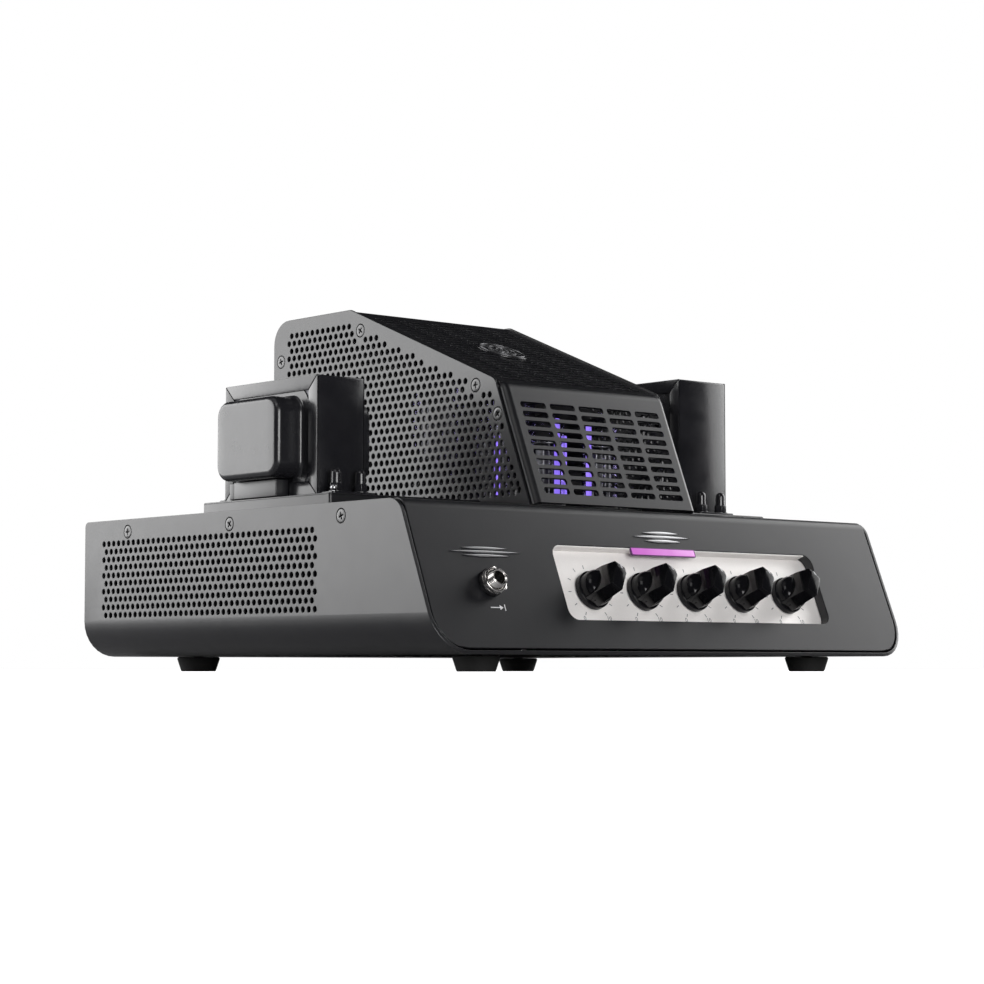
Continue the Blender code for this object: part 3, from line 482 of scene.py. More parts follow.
def glass(name):
    """Thin clear glass: see-through, with a glossy skin that is stronger at its rim."""
    material, nodes = new_material(name)
    nodes.tree.nodes.remove(nodes.main)
    clear = nodes.add("BsdfTransparent", 0, {"Color": (0.93, 0.93, 0.96, 1)})
    ripple = nodes.remap(nodes.noise(80.0), 0.03, 0.08)
    # The skin's strength is the glass's own; its violet tint is painted light, standing in for the valves'
    # violet glow in the reflections.
    skin = nodes.add("BsdfGlossy", 0, {"Color": (0.20, 0.17, 0.36, 1), "Roughness": ripple})
    rim = nodes.add("LayerWeight", "Facing", {"Blend": 0.25})
    mix = nodes.add("MixShader", 0, {"Fac": rim, 1: clear, 2: skin})
    nodes.feed(nodes.tree.nodes["Material Output"], {"Surface": mix})
    return material


def laminated(name):
    """Varnished edges of a stack of steel sheets."""
    material, nodes = new_material(name)
    sheets = nodes.add("TexWave", "Fac", {"Vector": nodes.place(), "Scale": 320.0},
                       wave_type="BANDS", bands_direction="X")
    nodes.feed(nodes.main, {"Base Color": nodes.mix(sheets, (0.02, 0.02, 0.022, 1), (0.09, 0.09, 0.10, 1)),
                            "Metallic": 0.6, "Roughness": 0.45})
    nodes.bump(sheets, 0.00008)
    return material


def circuit_board(name, top):
    """Solder mask with copper tracks; what stands above a height is dark moulded parts."""
    material, nodes = new_material(name)
    colours = {"Color1": (0.010, 0.085, 0.035, 1), "Color2": (0.014, 0.110, 0.045, 1),
               "Mortar": (0.03, 0.17, 0.07, 1)}
    place = nodes.place()
    mask = nodes.add("TexBrick", "Color", {"Vector": place, "Scale": 180.0} | colours)
    height = nodes.add("SeparateXYZ", "Z", {0: place})
    above = nodes.add("Math", 0, {0: height, 1: top}, operation="GREATER_THAN")
    nodes.feed(nodes.main, {"Base Color": nodes.mix(above, mask, (0.02, 0.02, 0.022, 1)), "Roughness": 0.42})
    nodes.bump(mask.node.outputs["Fac"], 0.00005)
    return material


BLACK_COAT = coated("black_coat", (0.006, 0.006, 0.0075), 0.35, 1500.0, 0.000015, 0.015)
GLOSS_BLACK = coated("gloss_black", (0.010, 0.010, 0.012), 0.22, 500.0, 0.00003)
BELL_BLACK = coated("bell_black", (0.012, 0.012, 0.014), 0.24, 420.0, 0.00004)
RUBBER = coated("rubber", (0.012, 0.012, 0.012), 0.75, 900.0, 0.0001)
PLASTIC = coated("plastic", (0.014, 0.014, 0.016), 0.45, 1200.0, 0.00005)
GLOSS_PLASTIC = coated("gloss_plastic", (0.010, 0.010, 0.011), 0.20, 900.0, 0.00002)
KNOB_BLACK = coated("knob_black", (0.004, 0.004, 0.005), 0.12, 700.0, 0.000004, 0.03, 0.20)
PRINT_GREY = coated("print_grey", (0.20, 0.20, 0.21), 0.55, 2000.0, 0.00001)
PRINT_WHITE = coated("print_white", (0.62, 0.62, 0.64), 0.55, 2000.0, 0.00001)
SILVER = metal("silver", (0.90, 0.87, 0.85), 0.45, 0.000008, 900.0, (1.0, 12.0, 12.0), 0.12)
NICKEL = metal("nickel", (0.66, 0.64, 0.62), 0.20)
ORNAMENT = metal("ornament", (0.42, 0.42, 0.43), 0.34)
RING_METAL = metal("ring_metal", (0.13, 0.13, 0.135), 0.42)
SCREW_METAL = coated("screw_metal", (0.012, 0.012, 0.013), 0.34, 900.0, 0.00002, 0.04, 0.62)
PLATE_METAL = metal("plate_metal", (0.30, 0.30, 0.31), 0.40)
LIGHT_LENS = lit("light_lens", (0.56, 0.12, 0.56), 1.0, (0.68, 0.22, 0.68))
# Painted light: the frame is dark, and its violet tint is the bar's glow painted onto its edge.
GLOW_TINTED_RIM = coated("glow_tinted_rim", (0.10, 0.015, 0.13), 0.35, 900.0, 0.00002)
# Painted highlight: violet glow for the strips in the preamp valves, which stand in for light caught on
# their glass.
VIOLET_PAINTED_HIGHLIGHT = lit("violet_painted_highlight", (0.20, 0.12, 0.75), 1.3, (0.30, 0.19, 0.90))
VALVE_GLASS = glass("valve_glass")
LAMINATION = laminated("lamination")
CONTROL_BOARD = circuit_board("control_board_mask", 10.0)      # nothing stands that high
SOCKET_BOARD = circuit_board("socket_board_mask", 0.0868)
MAIN_BOARD = circuit_board("main_board_mask", 0.0258)

# ---------------------------------------------------------------- case

CASE_LINE = [(CASE_HALF, DECK), (CASE_HALF, CASE_BOTTOM), (-CASE_HALF, CASE_BOTTOM), (-CASE_HALF, DECK)]
CASE_BENDS = [0, SIDE_BEND, SIDE_BEND, 0]


def case_holes():
    """Perforation of a case side as (y, z): ten staggered rows of forty."""
    first_y, first_z = 137.9, 71.2
    return [(first_y - (column + row % 2 / 2) * HOLE_PITCH, first_z - row * ROW_PITCH)
            for row in range(10) for column in range(40)]


def front_edge(z):
    """Place of the leaning front edge at a height."""
    return FRONT + (z - CASE_BOTTOM) * math.tan(LEAN)


def make_case_wrap():
    """Folded lower sheet: both perforated sides and the bottom in one piece."""
    _, length = unroll(CASE_LINE, CASE_BENDS)
    flat = DECK - CASE_BOTTOM - SIDE_BEND
    bend = SIDE_BEND * math.pi / 2
    side = fillet([(front_edge(DECK), 0.0), (BACK, 0.0), (BACK, flat), (front_edge(DECK - flat), flat)],
                  [CORNER, REAR_BEND, 0, 0])[:-1]
    front = []
    for step in range(9):
        z = CASE_BOTTOM + SIDE_BEND * (1 - math.sin(math.pi / 2 * step / 8))
        front.append((front_edge(z), flat + bend * step / 8))
    mirrored_side = [(y, length - s) for y, s in reversed(side)]
    mirrored_front = [(y, length - s) for y, s in front]
    loop = side + mirrored_side + mirrored_front + front[::-1]
    screws = [centre_of(f"side_screw_left_{number}").yz for number in (1, 2, 3)]
    holes = []
    for places, radius, segments in ((case_holes(), HOLE_RADIUS, 14), (screws, SCREW_HOLE, 32)):
        for y, z in places:
            holes.append(circle(radius, segments, (y, DECK - z)))
            holes.append(circle(radius, segments, (y, length - DECK + z)))
    bm = flat_sheet(loop, holes, WRAP_SHEET)
    fold(bm, CASE_LINE, CASE_BENDS, lambda across, point: (point.x, across, point.y))
    add_piece("case_wrap_sheet", bm, BLACK_COAT, ["case_wrap"], angle=20)


# ---------------------------------------------------------------- chassis

PANEL = Matrix.Translation((0, FRONT, CASE_BOTTOM)) @ tilt(90 - LEAN_DEGREES)
PANEL_START = 3.3                   # lower edge of the front panel, up its slope
PANEL_TOP = (DECK - CASE_BOTTOM) / math.cos(LEAN)
WINDOW_X = (-78.5, 114.3)
WINDOW_S = (19.0, 60.0)
WINDOW_RADIUS = 6.0
PLATE_OFF = -6.0                    # face of the recessed plate
REAR_Z = centre_of("mains_inlet").z


def panel_place(point):
    """A point's place on the front panel: across, up the slope and out of it."""
    return PANEL.inverted() @ Vector(point)


JACK = panel_place(centre_of("input_jack_nut"))


def make_chassis():
    """Folded sheet: front panel with its window, deck and rear panel with its cut-outs."""
    low_z = CASE_BOTTOM + PANEL_START * math.cos(LEAN)
    line = [(FRONT + PANEL_START * math.sin(LEAN), low_z), (FRONT + PANEL_TOP * math.sin(LEAN), DECK),
            (REAR_FACE, DECK), (REAR_FACE, low_z)]
    stretches, length = unroll(line, [0, PANEL_BEND, REAR_BEND, 0])
    corner = SIDE_BEND - WRAP_SHEET - 0.7
    rise = []
    for step in range(9):
        angle = math.pi / 2 * step / 8
        z = CASE_BOTTOM + SIDE_BEND - corner * math.cos(angle)
        if z > low_z:
            rise.append((PANEL_HALF - corner * (1 - math.sin(angle)), z - low_z))
    front = [(x, height / math.cos(LEAN)) for x, height in rise]
    rear = [(x, length - height) for x, height in rise[::-1]]
    low_x = PANEL_HALF - corner
    right = [(low_x, 0.0)] + front + rear + [(low_x, length)]
    outline = right + [(-x, s) for x, s in reversed(right)]
    window_s = [s - PANEL_START for s in WINDOW_S]
    holes = [rectangle(WINDOW_X, window_s, WINDOW_RADIUS), circle(5.2, 32, (JACK.x, JACK.y - PANEL_START))]
    rear_s = stretches[4][1] + DECK - REAR_BEND - REAR_Z
    for node, half_x, half_z in (("mains_inlet", 13.9, 10.3), ("power_switch", 6.9, 10.3),
                                 ("standby_switch", 6.9, 10.3),
                                 ("speaker_jack", 10.3, 10.3),
                                 ("ground_lift_button", 3.6, 3.6)):
        x = centre_of(node).x
        holes.append(rectangle(around(x, half_x), around(rear_s, half_z), 0.8, 3))
    for node, radius in (("fuse_holder", 6.4), ("di_connector", 12.0)):
        holes.append(circle(radius, 32, (centre_of(node).x, rear_s)))
    bm = flat_sheet(outline, holes, SHEET)
    fold(bm, line, [0, PANEL_BEND, REAR_BEND, 0], lambda across, point: (across, point.x, point.y), 10)
    # Return flange round the window.
    rim = 1.2
    outer = rectangle((WINDOW_X[0] - rim, WINDOW_X[1] + rim), (WINDOW_S[0] - rim, WINDOW_S[1] + rim),
                      WINDOW_RADIUS + rim)
    add_sheet(bm, PANEL @ lift(-1.1), outer, [rectangle(WINDOW_X, WINDOW_S, WINDOW_RADIUS)], 4.6, 0.2)
    # Flanges folded down from the deck, which take the side screws.
    for side in (-1, 1):
        plate = rectangle((-118, 150), (DECK - 14, DECK - 1.2), 2)
        add_sheet(bm, upright(side, PANEL_HALF), plate, [], SHEET)
    add_piece("chassis_sheet", bm, BLACK_COAT, ["chassis"], angle=20)


# ---------------------------------------------------------------- valve cage

CAGE_FOOT = (-102.96, 88.0)
CAGE_FRONT_TOP = (-76.96, 152.4)
CAGE_APEX = (54.2, 204.5)
CAGE_BACK = COVER_HIGH.y
CAGE_LINE = [CAGE_FOOT, CAGE_FRONT_TOP, CAGE_APEX, (CAGE_BACK, CAGE_APEX[1]), (CAGE_BACK, COVER_LOW.z)]
CAGE_BENDS = [0, 7.0, 6.0, 14.0, 0]
CAGE_SCREWS = [centre_of(f"cage_screw_left_{number}").yz for number in (1, 2, 3, 4)]
TRAY_LOW, TRAY_HIGH = box("transformer_tray")
SLOT_PITCH = (21.0, 5.6)
SLOT_HALF = (9.0, 1.7)
SLOT_FIRST = 7.2
BACK_FIRST = 14.0                   # first row of slots below the upper rear bend
BACK_ROWS = 14
CORNER_BEND = 3.4                   # bend of the cover round the upright edges of the cage front
CHEEK_PROUD = 0.8                   # by which the flat sides stand out past the cover
TRAY_GAP = 0.3                      # gap between the flat sides and the tray
RIGHT_HOLES_END = -17.0             # the right side is plain behind this


def slots(first, rows):
    """Rows of five slots, from a place along the folded line."""
    outlines = []
    for row in range(rows):
        for column in range(5):
            x = (column - 2) * SLOT_PITCH[0]
            s = first + row * SLOT_PITCH[1]
            outlines.append(rectangle(around(x, SLOT_HALF[0]), around(s, SLOT_HALF[1]), 1.4, 4))
    return outlines


def set_back(points, line, distance):
    """Move the first edge of an outline to a distance inside the first edge of a line."""
    along = (Vector(line[1]) - Vector(line[0])).normalized()
    start = offset([Vector(corner) for corner in line], distance)[0]
    level = (points[2] - points[1]).normalized()
    gap = points[1] - start
    step = (gap.x * level.y - gap.y * level.x) / (along.x * level.y - along.y * level.x)
    points[0] = start + along * ((points[0].y - start.y) / along.y)
    points[1] = start + along * step


def corner_bend(half, length):
    """Quarter round strips down both sides of the unrolled cage front."""
    bm = bmesh.new()
    for side in (-1, 1):
        profile = arc((half - CORNER_BEND, -CORNER_BEND), CORNER_BEND, 90, 0, 8)
        profile += arc((half - CORNER_BEND, -CORNER_BEND), CORNER_BEND - SHEET, 0, 90, 8)
        loops = [[bm.verts.new((side * x, s, z)) for x, z in profile] for s in (0, length)]
        for first, second in zip(loops[0], loops[0][1:] + loops[0][:1]):
            index, after = loops[0].index(first), loops[0].index(second)
            bm.faces.new((first, second, loops[1][after], loops[1][index]))
        bm.faces.new(loops[0])
        bm.faces.new(loops[1])
    bmesh.ops.recalc_face_normals(bm, faces=bm.faces)
    return bm


def make_cage_cover():
    """Folded cover with slots in its front, its slope and its back."""
    half = COVER_HIGH.x
    narrow = half - CORNER_BEND
    stretches, length = unroll(CAGE_LINE, CAGE_BENDS)
    slope_start = stretches[2][1]
    back_start = stretches[6][1]
    holes = slots(SLOT_FIRST, 10) + slots(slope_start + 8, 22) + slots(back_start + BACK_FIRST, BACK_ROWS)
    outline = [(-narrow, 0), (narrow, 0), (narrow, slope_start), (half, slope_start), (half, length),
               (-half, length), (-half, slope_start), (-narrow, slope_start)]
    bm = flat_sheet(outline, holes, SHEET, 0.1)
    merge(bm, corner_bend(half, slope_start))
    fold(bm, CAGE_LINE, CAGE_BENDS, lambda across, point: (across, point.x, point.y), 8)
    outer = offset(CAGE_LINE, SHEET * 0.8)
    set_back(outer, CAGE_LINE, CORNER_BEND)
    inner = offset(CAGE_LINE, 11.5)
    along = (inner[1] - inner[0]).normalized()
    inner[0] += along * (CAGE_FOOT[1] - inner[0].y) / along.y
    outline = fillet(list(outer) + inner[::-1], [0, 6, 5, 13, 0] + [0] * 5)
    for side in (-1, 1):
        add_sheet(bm, upright(side, half), outline, [], SHEET)
    # Louvre strips inside the back, one behind each row of slots.
    for row in range(BACK_ROWS):
        z = CAGE_APEX[1] - (BACK_FIRST + row * SLOT_PITCH[1]) - SLOT_HALF[1] - CAGE_BENDS[3]
        place = Matrix.Translation((0, CAGE_BACK - SHEET - 0.2, z)) @ tilt(-45)
        add_block(bm, (-52, -5.2, -0.4), (52, 0, 0.4), 0.2, 1, place)
    add_piece("cage_cover_sheet", bm, BLACK_COAT, ["cage_cover"], angle=20)


def inside(point, corners, margins):
    """True if a point keeps its margin to every side of a convex outline that runs clockwise."""
    for start, end, margin in zip(corners, corners[1:] + corners[:1], margins):
        along = (end - start).normalized()
        right = Vector((along.y, -along.x))
        if (point - start).dot(right) < margin:
            return False
    return True


def cheek_holes(corners, last_y):
    """Staggered perforation of a cage side, kept clear of its edges and screws, as (y, z)."""
    margins = [8.3, 8.3, 8.3, 15.0, 6.0]
    corners = [Vector(corner) for corner in corners]
    places = []
    first_y, first_z = 110.2, 195.7
    for row in range(25):
        for column in range(-1, 45):
            y = first_y + row % 2 * 2.5 - column * HOLE_PITCH
            point = Vector((y, first_z - row * ROW_PITCH))
            near_screw = any((point - screw).length < 6.6 for screw in CAGE_SCREWS)
            if y < last_y and inside(point, corners, margins) and not near_screw:
                places.append(point)
    return places


def make_cage_side(word, side):
    """Perforated flat side of the cage, cut out round the tray."""
    line = [Vector(corner) for corner in CAGE_LINE]
    along = (line[1] - line[0]).normalized()
    low = CHEEK_LOW.z
    line[0] -= along * (line[0].y - low) / along.y
    corners = offset(line, -CHEEK_PROUD)
    corners[0].y = corners[-1].y = low
    over = TRAY_HIGH.z + TRAY_GAP
    step_back, step_front = TRAY_HIGH.y + TRAY_GAP, TRAY_LOW.y - TRAY_GAP
    notch = [Vector(p) for p in ((step_back, low), (step_back, over), (step_front, over), (step_front, low))]
    front = list(corners)
    set_back(front, line, CORNER_BEND + 0.3)
    outline = fillet(front + notch, CAGE_BENDS + [0] * 4)
    last_y = RIGHT_HOLES_END if side > 0 else CAGE_BACK
    holes = [circle(HOLE_RADIUS, 14, place) for place in cheek_holes(corners, last_y)]
    holes += [circle(SCREW_HOLE, 32, screw) for screw in CAGE_SCREWS]
    holes.append(circle(1.6, 20, (-91.4, 94.7)))        # locating hole at the foot of the front
    bm = flat_sheet(outline, holes, SHEET)
    bm.transform(upright(side, -CHEEK_LOW.x))
    if side < 0:
        bmesh.ops.reverse_faces(bm, faces=bm.faces)
    add_piece(f"cage_side_{word}_sheet", bm, BLACK_COAT, [f"cage_side_{word}"], angle=20)


# ---------------------------------------------------------------- screws and feet

HEAD_RADIUS = 3.4
SCREW_EDGE = 0.15


def cross(reach, half):
    """Outline of a cross recess."""
    quarter = [(reach, half), (half, half), (half, reach), (-half, reach)]
    turns = [Matrix.Rotation(step * math.pi / 2, 2) for step in range(4)]
    return [tuple(turn @ Vector(point)) for turn in turns for point in quarter]


def make_screw(node, side, turn):
    """Countersunk cross-recessed screw, flush with a side face."""
    low, high = box(node)
    middle = (low + high) / 2
    outward = facing(side, (side * max(abs(low.x), abs(high.x)), middle.y, middle.z))
    bm = bmesh.new()
    place = outward @ tilt(turn, "Z")
    add_sheet(bm, place, circle(HEAD_RADIUS, 32), [cross(1.9, 0.42)], 1.1, SCREW_EDGE)
    end = low.x - high.x
    add_turned(bm, [(0, -1.05), (3.3, -1.05), (1.7, -2.6), (1.7, end), (0, end)], 24, outward)
    add_piece(node + "_head", bm, SCREW_METAL, [node])


def standing(node):
    """Place, radius and height of a round solid that stands upright."""
    low, high = box(node)
    middle = (low + high) / 2
    return Matrix.Translation((middle.x, middle.y, low.z)), high.x - middle.x, high.z - low.z


def make_foot(node):
    """Tapered rubber foot with a recessed screw underneath."""
    place, _, height = standing(node)
    top = CASE_BOTTOM - 0.2
    profile = [(0, 1.6), (4.2, 1.6), (4.6, 0.5), (5.2, 0.0), (9.2, 0.0)]
    profile += arc((9.2, 0.7), 0.7, -80, -15, 4)
    profile += arc((11.0, top - 1.0), 1.0, -10, 80, 5)
    profile += [(3.0, top), (3.0, height), (0, height)]
    bm = bmesh.new()
    add_turned(bm, profile, 48, place)
    add_piece(node + "_rubber", bm, RUBBER, [node])
    bm = bmesh.new()
    add_sheet(bm, place @ lift(0.9) @ tilt(180), circle(3.6, 28), [cross(1.6, 0.4)], 0.9, SCREW_EDGE)
    add_piece(node + "_screw", bm, SCREW_METAL)


# ---------------------------------------------------------------- window, light bar, marks

PLATE_SHEET = 1.5
KNOBS = ("gain_knob", "bass_knob", "midrange_knob", "treble_knob", "volume_knob")
KNOB_PITCH = (centre_of(KNOBS[-1]).x - centre_of(KNOBS[0]).x) / (len(KNOBS) - 1)
KNOB_S = 37.0                       # up the panel's slope
KNOB_X = [(WINDOW_X[0] + WINDOW_X[1]) / 2 + (k - 2) * KNOB_PITCH for k in range(len(KNOBS))]
DIAL_TICKS = 11
DIAL_SWEEP = 300.0


def on_panel(x=0.0, s=0.0, off=0.0, turn=0.0):
    """Matrix of a place on the front panel: across, up the slope, out of it."""
    return PANEL @ Matrix.Translation((x, s, off)) @ Matrix.Rotation(turn, 4, "Z")


def add_print(bm, outline, matrix, height=0.06):
    """Thin printed shape standing just proud of its surface."""
    add_sheet(bm, matrix @ lift(height), outline, [], 2 * height, height * 0.4)


def add_numeral(bm, text, size, matrix):
    """Small dial numeral, printed on the plate."""
    curve = bpy.data.curves.new("numeral", "FONT")
    curve.body = text
    curve.size = size
    curve.align_x = "CENTER"
    curve.align_y = "CENTER"
    curve.extrude = 0.05
    curve.resolution_u = 3
    merge(bm, filled(curve), matrix)


def make_faceplate():
    """Brushed plate behind the window, with its printed dials."""
    low, high = box("faceplate")
    half = (high.x - low.x) / 2
    middle = (low.x + high.x) / 2
    s_range = (WINDOW_S[0] - 5, WINDOW_S[1] + 5)
    outline = rectangle(around(middle, half), s_range, 4)
    holes = [circle(4.6, 32, (x, KNOB_S)) for x in KNOB_X]
    bm = bmesh.new()
    add_sheet(bm, on_panel(off=PLATE_OFF), outline, holes, PLATE_SHEET, 0.2)
    # Lip folded forward along the top of the window.
    lip = rectangle((WINDOW_X[0] + 0.5, WINDOW_X[1] - 5), (-6, -0.25))
    add_sheet(bm, on_panel(s=WINDOW_S[1] - 0.55) @ tilt(90), lip, [], 0.5, 0.1)
    add_piece("faceplate_brushed", bm, SILVER, ["faceplate"])
    bm = bmesh.new()
    for x in KNOB_X:
        for tick in range(DIAL_TICKS):
            turn = math.radians(DIAL_SWEEP * (0.5 - tick / (DIAL_TICKS - 1)))
            mark = rectangle(around(0, 0.22), (12.8, 14.8), 0.1, 2)
            add_print(bm, mark, on_panel(x, KNOB_S, PLATE_OFF, turn))
        for text, side in (("0", -1), ("10", 1)):
            turn = math.radians(-side * DIAL_SWEEP / 2)
            spot = Matrix.Rotation(turn, 2) @ Vector((0, 16.9))
            add_numeral(bm, text, 3.4, on_panel(x + spot.x, KNOB_S + spot.y, PLATE_OFF))
    add_piece("dial_marks", bm, PRINT_GREY)


def make_light_bar():
    """Lit bar at the top of the window, in a thin dark frame whose violet tint is painted glow from the bar.
    """
    low, high = box("light_bar")
    half = (high.x - low.x) / 2
    top = WINDOW_S[1] + 0.2
    s_range = (top - 4.4, top)
    rim = 0.4
    inner = ((-half + rim, half - rim), (s_range[0] + rim, s_range[1] - rim))
    bm = bmesh.new()
    add_sheet(bm, on_panel(off=0.6), rectangle(*inner, 0.5, 3), [], 1.1, 0.15)
    add_piece("light_bar_lens", bm, LIGHT_LENS, ["light_bar"])
    bm = bmesh.new()
    outer = rectangle((-half, half), s_range, 0.7, 3)
    # The frame's violet is painted glow from the bar, not its own colour.
    add_sheet(bm, on_panel(off=0.65), outer, [rectangle(*inner, 0.5, 3)], 1.2, 0.1)
    add_piece("light_bar_frame", bm, GLOW_TINTED_RIM)


def lens(half_length, half_height, steps=10):
    """Slim outline between two arcs, pointed at both ends."""
    upper = [(half_length * (2 * k / steps - 1), half_height * (1 - (2 * k / steps - 1) ** 2))
             for k in range(steps + 1)]
    lower = [(x, -y) for x, y in upper[1:-1]]
    return upper + lower[::-1]


def make_ornaments():
    """Plain ornaments on the front panel, slim lenses that stand for no maker, and the jack's arrow."""
    bm = bmesh.new()
    for shift, half in ((0.0, 20.5), (-2.3, 13.0), (2.3, 13.0)):
        add_sheet(bm, on_panel(1.9, 66.7 + shift, 0.5), lens(half, 0.95), [], 0.7, 0.12)
    for shift, half in ((0.0, 23.0), (-2.0, 15.0), (2.0, 15.0)):
        add_sheet(bm, on_panel(-124.1, 54.3 + shift, 0.5), lens(half, 0.75), [], 0.7, 0.12)
    add_piece("panel_ornaments", bm, ORNAMENT)
    bm = bmesh.new()
    arrow = [(-5.0, -0.25), (1.0, -0.25), (1.0, -1.3), (3.2, 0.0), (1.0, 1.3), (1.0, 0.25), (-5.0, 0.25)]
    place = on_panel(-124.6, 24.7)
    add_print(bm, arrow, place)
    add_print(bm, rectangle((4.0, 4.5), around(0, 1.7)), place)
    add_piece("jack_mark", bm, PRINT_WHITE)


def slope_matrix(s):
    """Place on the cage's slope, s up from its lower bend, with Z out of the sheet."""
    start, end = Vector(CAGE_FRONT_TOP), Vector(CAGE_APEX)
    along = (end - start).normalized()
    point = start + along * s
    angle = math.atan2(along.y, along.x)
    return Matrix.Translation((0, point.x, point.y)) @ Matrix.Rotation(angle, 4, "X")


BADGE_S = 75.0
BADGE_RADIUS = 13.4


def make_badge():
    """Round plain badge on the slope: a disc with three thin rings."""
    place = slope_matrix(BADGE_S)
    bm = bmesh.new()
    add_sheet(bm, place @ lift(0.8), circle(BADGE_RADIUS + 1.2, 64), [], 1.0, 0.3)
    add_piece("cage_badge_disc", bm, GLOSS_BLACK)
    bm = bmesh.new()
    for radius in (BADGE_RADIUS, 8.6, 4.2):
        add_sheet(bm, place @ lift(1.6), circle(radius, 64), [circle(radius - 0.9, 64)], 0.9, 0.25)
    add_piece("cage_badge_ring", bm, RING_METAL)


# ---------------------------------------------------------------- knobs and jack

KNOB_ANGLE = math.radians(-34.0)
SKIRT = 10.2
BAR_CORNERS = [                     # across, along and height
    (-4.4, -9.2, 4.2), (4.4, -9.2, 4.2), (4.4, 9.2, 4.2), (-4.4, 9.2, 4.2),
    (-4.0, 9.2, 11.7), (4.0, 9.2, 11.7), (-3.4, 7.3, 21.7), (3.4, 7.3, 21.7),
    (-3.3, -9.2, 24.9), (3.3, -9.2, 24.9), (3.3, 1.6, 24.9), (2.2, 2.8, 24.9), (-3.3, 2.8, 24.9)]


def make_knob(node, x):
    """Bar knob on a round skirt: upright tail, flat end and a tip with a large chamfer."""
    place = on_panel(x, KNOB_S, PLATE_OFF, KNOB_ANGLE)
    shaft_end = -11.2
    profile = [(0, shaft_end), (3.0, shaft_end), (3.0, 3.2), (8.4, 3.2),
               (8.4, 0.6), (SKIRT - 0.3, 0.6), (SKIRT, 0.9)]
    profile += arc((SKIRT - 0.4, 3.5), 0.4, 0, 80, 4)
    profile += [(9.5, 4.0), (9.3, 4.6), (9.2, 5.6)]
    profile += arc((4.0, 6.4), 5.3, 10, 85, 8)
    profile += [(0, 12.0)]
    bm = bmesh.new()
    add_turned(bm, profile, 72, place)
    add_hull(bm, BAR_CORNERS, 0.4, place)
    add_piece(node + "_body", bm, KNOB_BLACK, [node], body=node, angle=30)
    # Pointer line down the chamfer and the tip.
    bm = bmesh.new()
    start, end = Vector((0, 3.4, 24.45)), Vector((0, 6.9, 22.0))
    along = (end - start).normalized()
    out = Vector((0, -along.z, along.y))
    line_place = Matrix(((1, 0, 0, 0), (0, along.y, out.y, start.y), (0, along.z, out.z, start.z),
                         (0, 0, 0, 1)))
    outline = rectangle(around(0, 0.45), (0, (end - start).length), 0.3, 3)
    add_sheet(bm, place @ line_place @ lift(0.2), outline, [], 0.5, 0.1)
    add_piece(node + "_line", bm, PRINT_WHITE, body=node)


def make_jack():
    """Input jack: threaded barrel, moulded body, black collar and hexagonal nut."""
    reach = 9.0
    bore = 3.3
    outer = 4.7
    profile = [(0, -18), (bore, -18), (bore, reach - 0.6), (bore + 0.6, reach), (outer - 0.5, reach)]
    z = reach - 0.3
    while z > 0:
        profile += [(outer, z - 0.15), (outer - 0.3, z - 0.45)]
        z -= 0.6
    profile += [(outer, -3), (outer, -20), (0, -20)]
    bm = bmesh.new()
    add_turned(bm, profile, 40, on_panel(JACK.x, JACK.y))
    add_piece("input_jack_barrel", bm, NICKEL, ["input_jack"], angle=25)
    bm = bmesh.new()
    add_block(bm, (-9, -9, -24), (9, 9, -1.8), 0.8, 3, on_panel(JACK.x, JACK.y))
    add_piece("input_jack_housing", bm, PLASTIC)
    bm = bmesh.new()
    add_sheet(bm, on_panel(JACK.x, JACK.y, 2.8), circle(7.2, 64), [circle(5.1, 48)], 2.5, 0.5)
    add_piece("input_jack_collar_ring", bm, GLOSS_PLASTIC, ["input_jack_collar"])
    bm = bmesh.new()
    hexagon = [Matrix.Rotation(math.radians(22), 2) @ Vector(corner)
               for corner in circle(6.7 / math.cos(math.pi / 6), 6)]
    add_sheet(bm, on_panel(JACK.x, JACK.y, 5.2), fillet(hexagon, [2.0] * 6, 6), [circle(5.3, 48)], 1.7, 0.4)
    crown = [(5.1, 3.6), (6.7, 3.6), (6.7, 4.9)]
    crown += arc((6.1, 5.1), 0.6, 0, 90, 4) + arc((5.6, 5.2), 0.5, 90, 180, 4)
    add_turned(bm, crown + [crown[0]], 64, on_panel(JACK.x, JACK.y))
    add_sheet(bm, on_panel(JACK.x, JACK.y, 3.5), circle(6.9, 48), [circle(5.1, 48)], 0.6, 0.15)
    add_piece("input_jack_nut_hex", bm, NICKEL, ["input_jack_nut"])


# ---------------------------------------------------------------- deck: tray, transformers, valves

VALVE_HOLES = [(f"preamp_valve_{number}", 11.0) for number in (1, 2, 3)]
VALVE_HOLES += [(f"power_valve_{number}", 16.5) for number in (1, 2)]


def make_tray():
    """Shallow upturned tray with rounded edges."""
    low, high = TRAY_LOW, TRAY_HIGH
    holes = [circle(radius, 40, centre_of(node).xy) for node, radius in VALVE_HOLES]
    outline = rectangle((low.x, high.x), (low.y, high.y), 1.8, 4)
    bm = bmesh.new()
    add_sheet(bm, lift(high.z), outline, holes, SHEET, 0.6)
    inner = rectangle((low.x + SHEET, high.x - SHEET), (low.y + SHEET, high.y - SHEET), 0.5, 4)
    add_sheet(bm, lift(high.z - 0.5), outline, [inner], high.z - low.z - 0.5, 0.2)
    add_piece("transformer_tray_sheet", bm, BLACK_COAT, ["transformer_tray"], angle=20)


FRAME_FLANGE = 7.5
FRAME_SHEET = 1.2
MITRE_GAP = 0.25
CORE_FRONT, CORE_REAR = -36.1, 46.5
NUT_STEP = 8


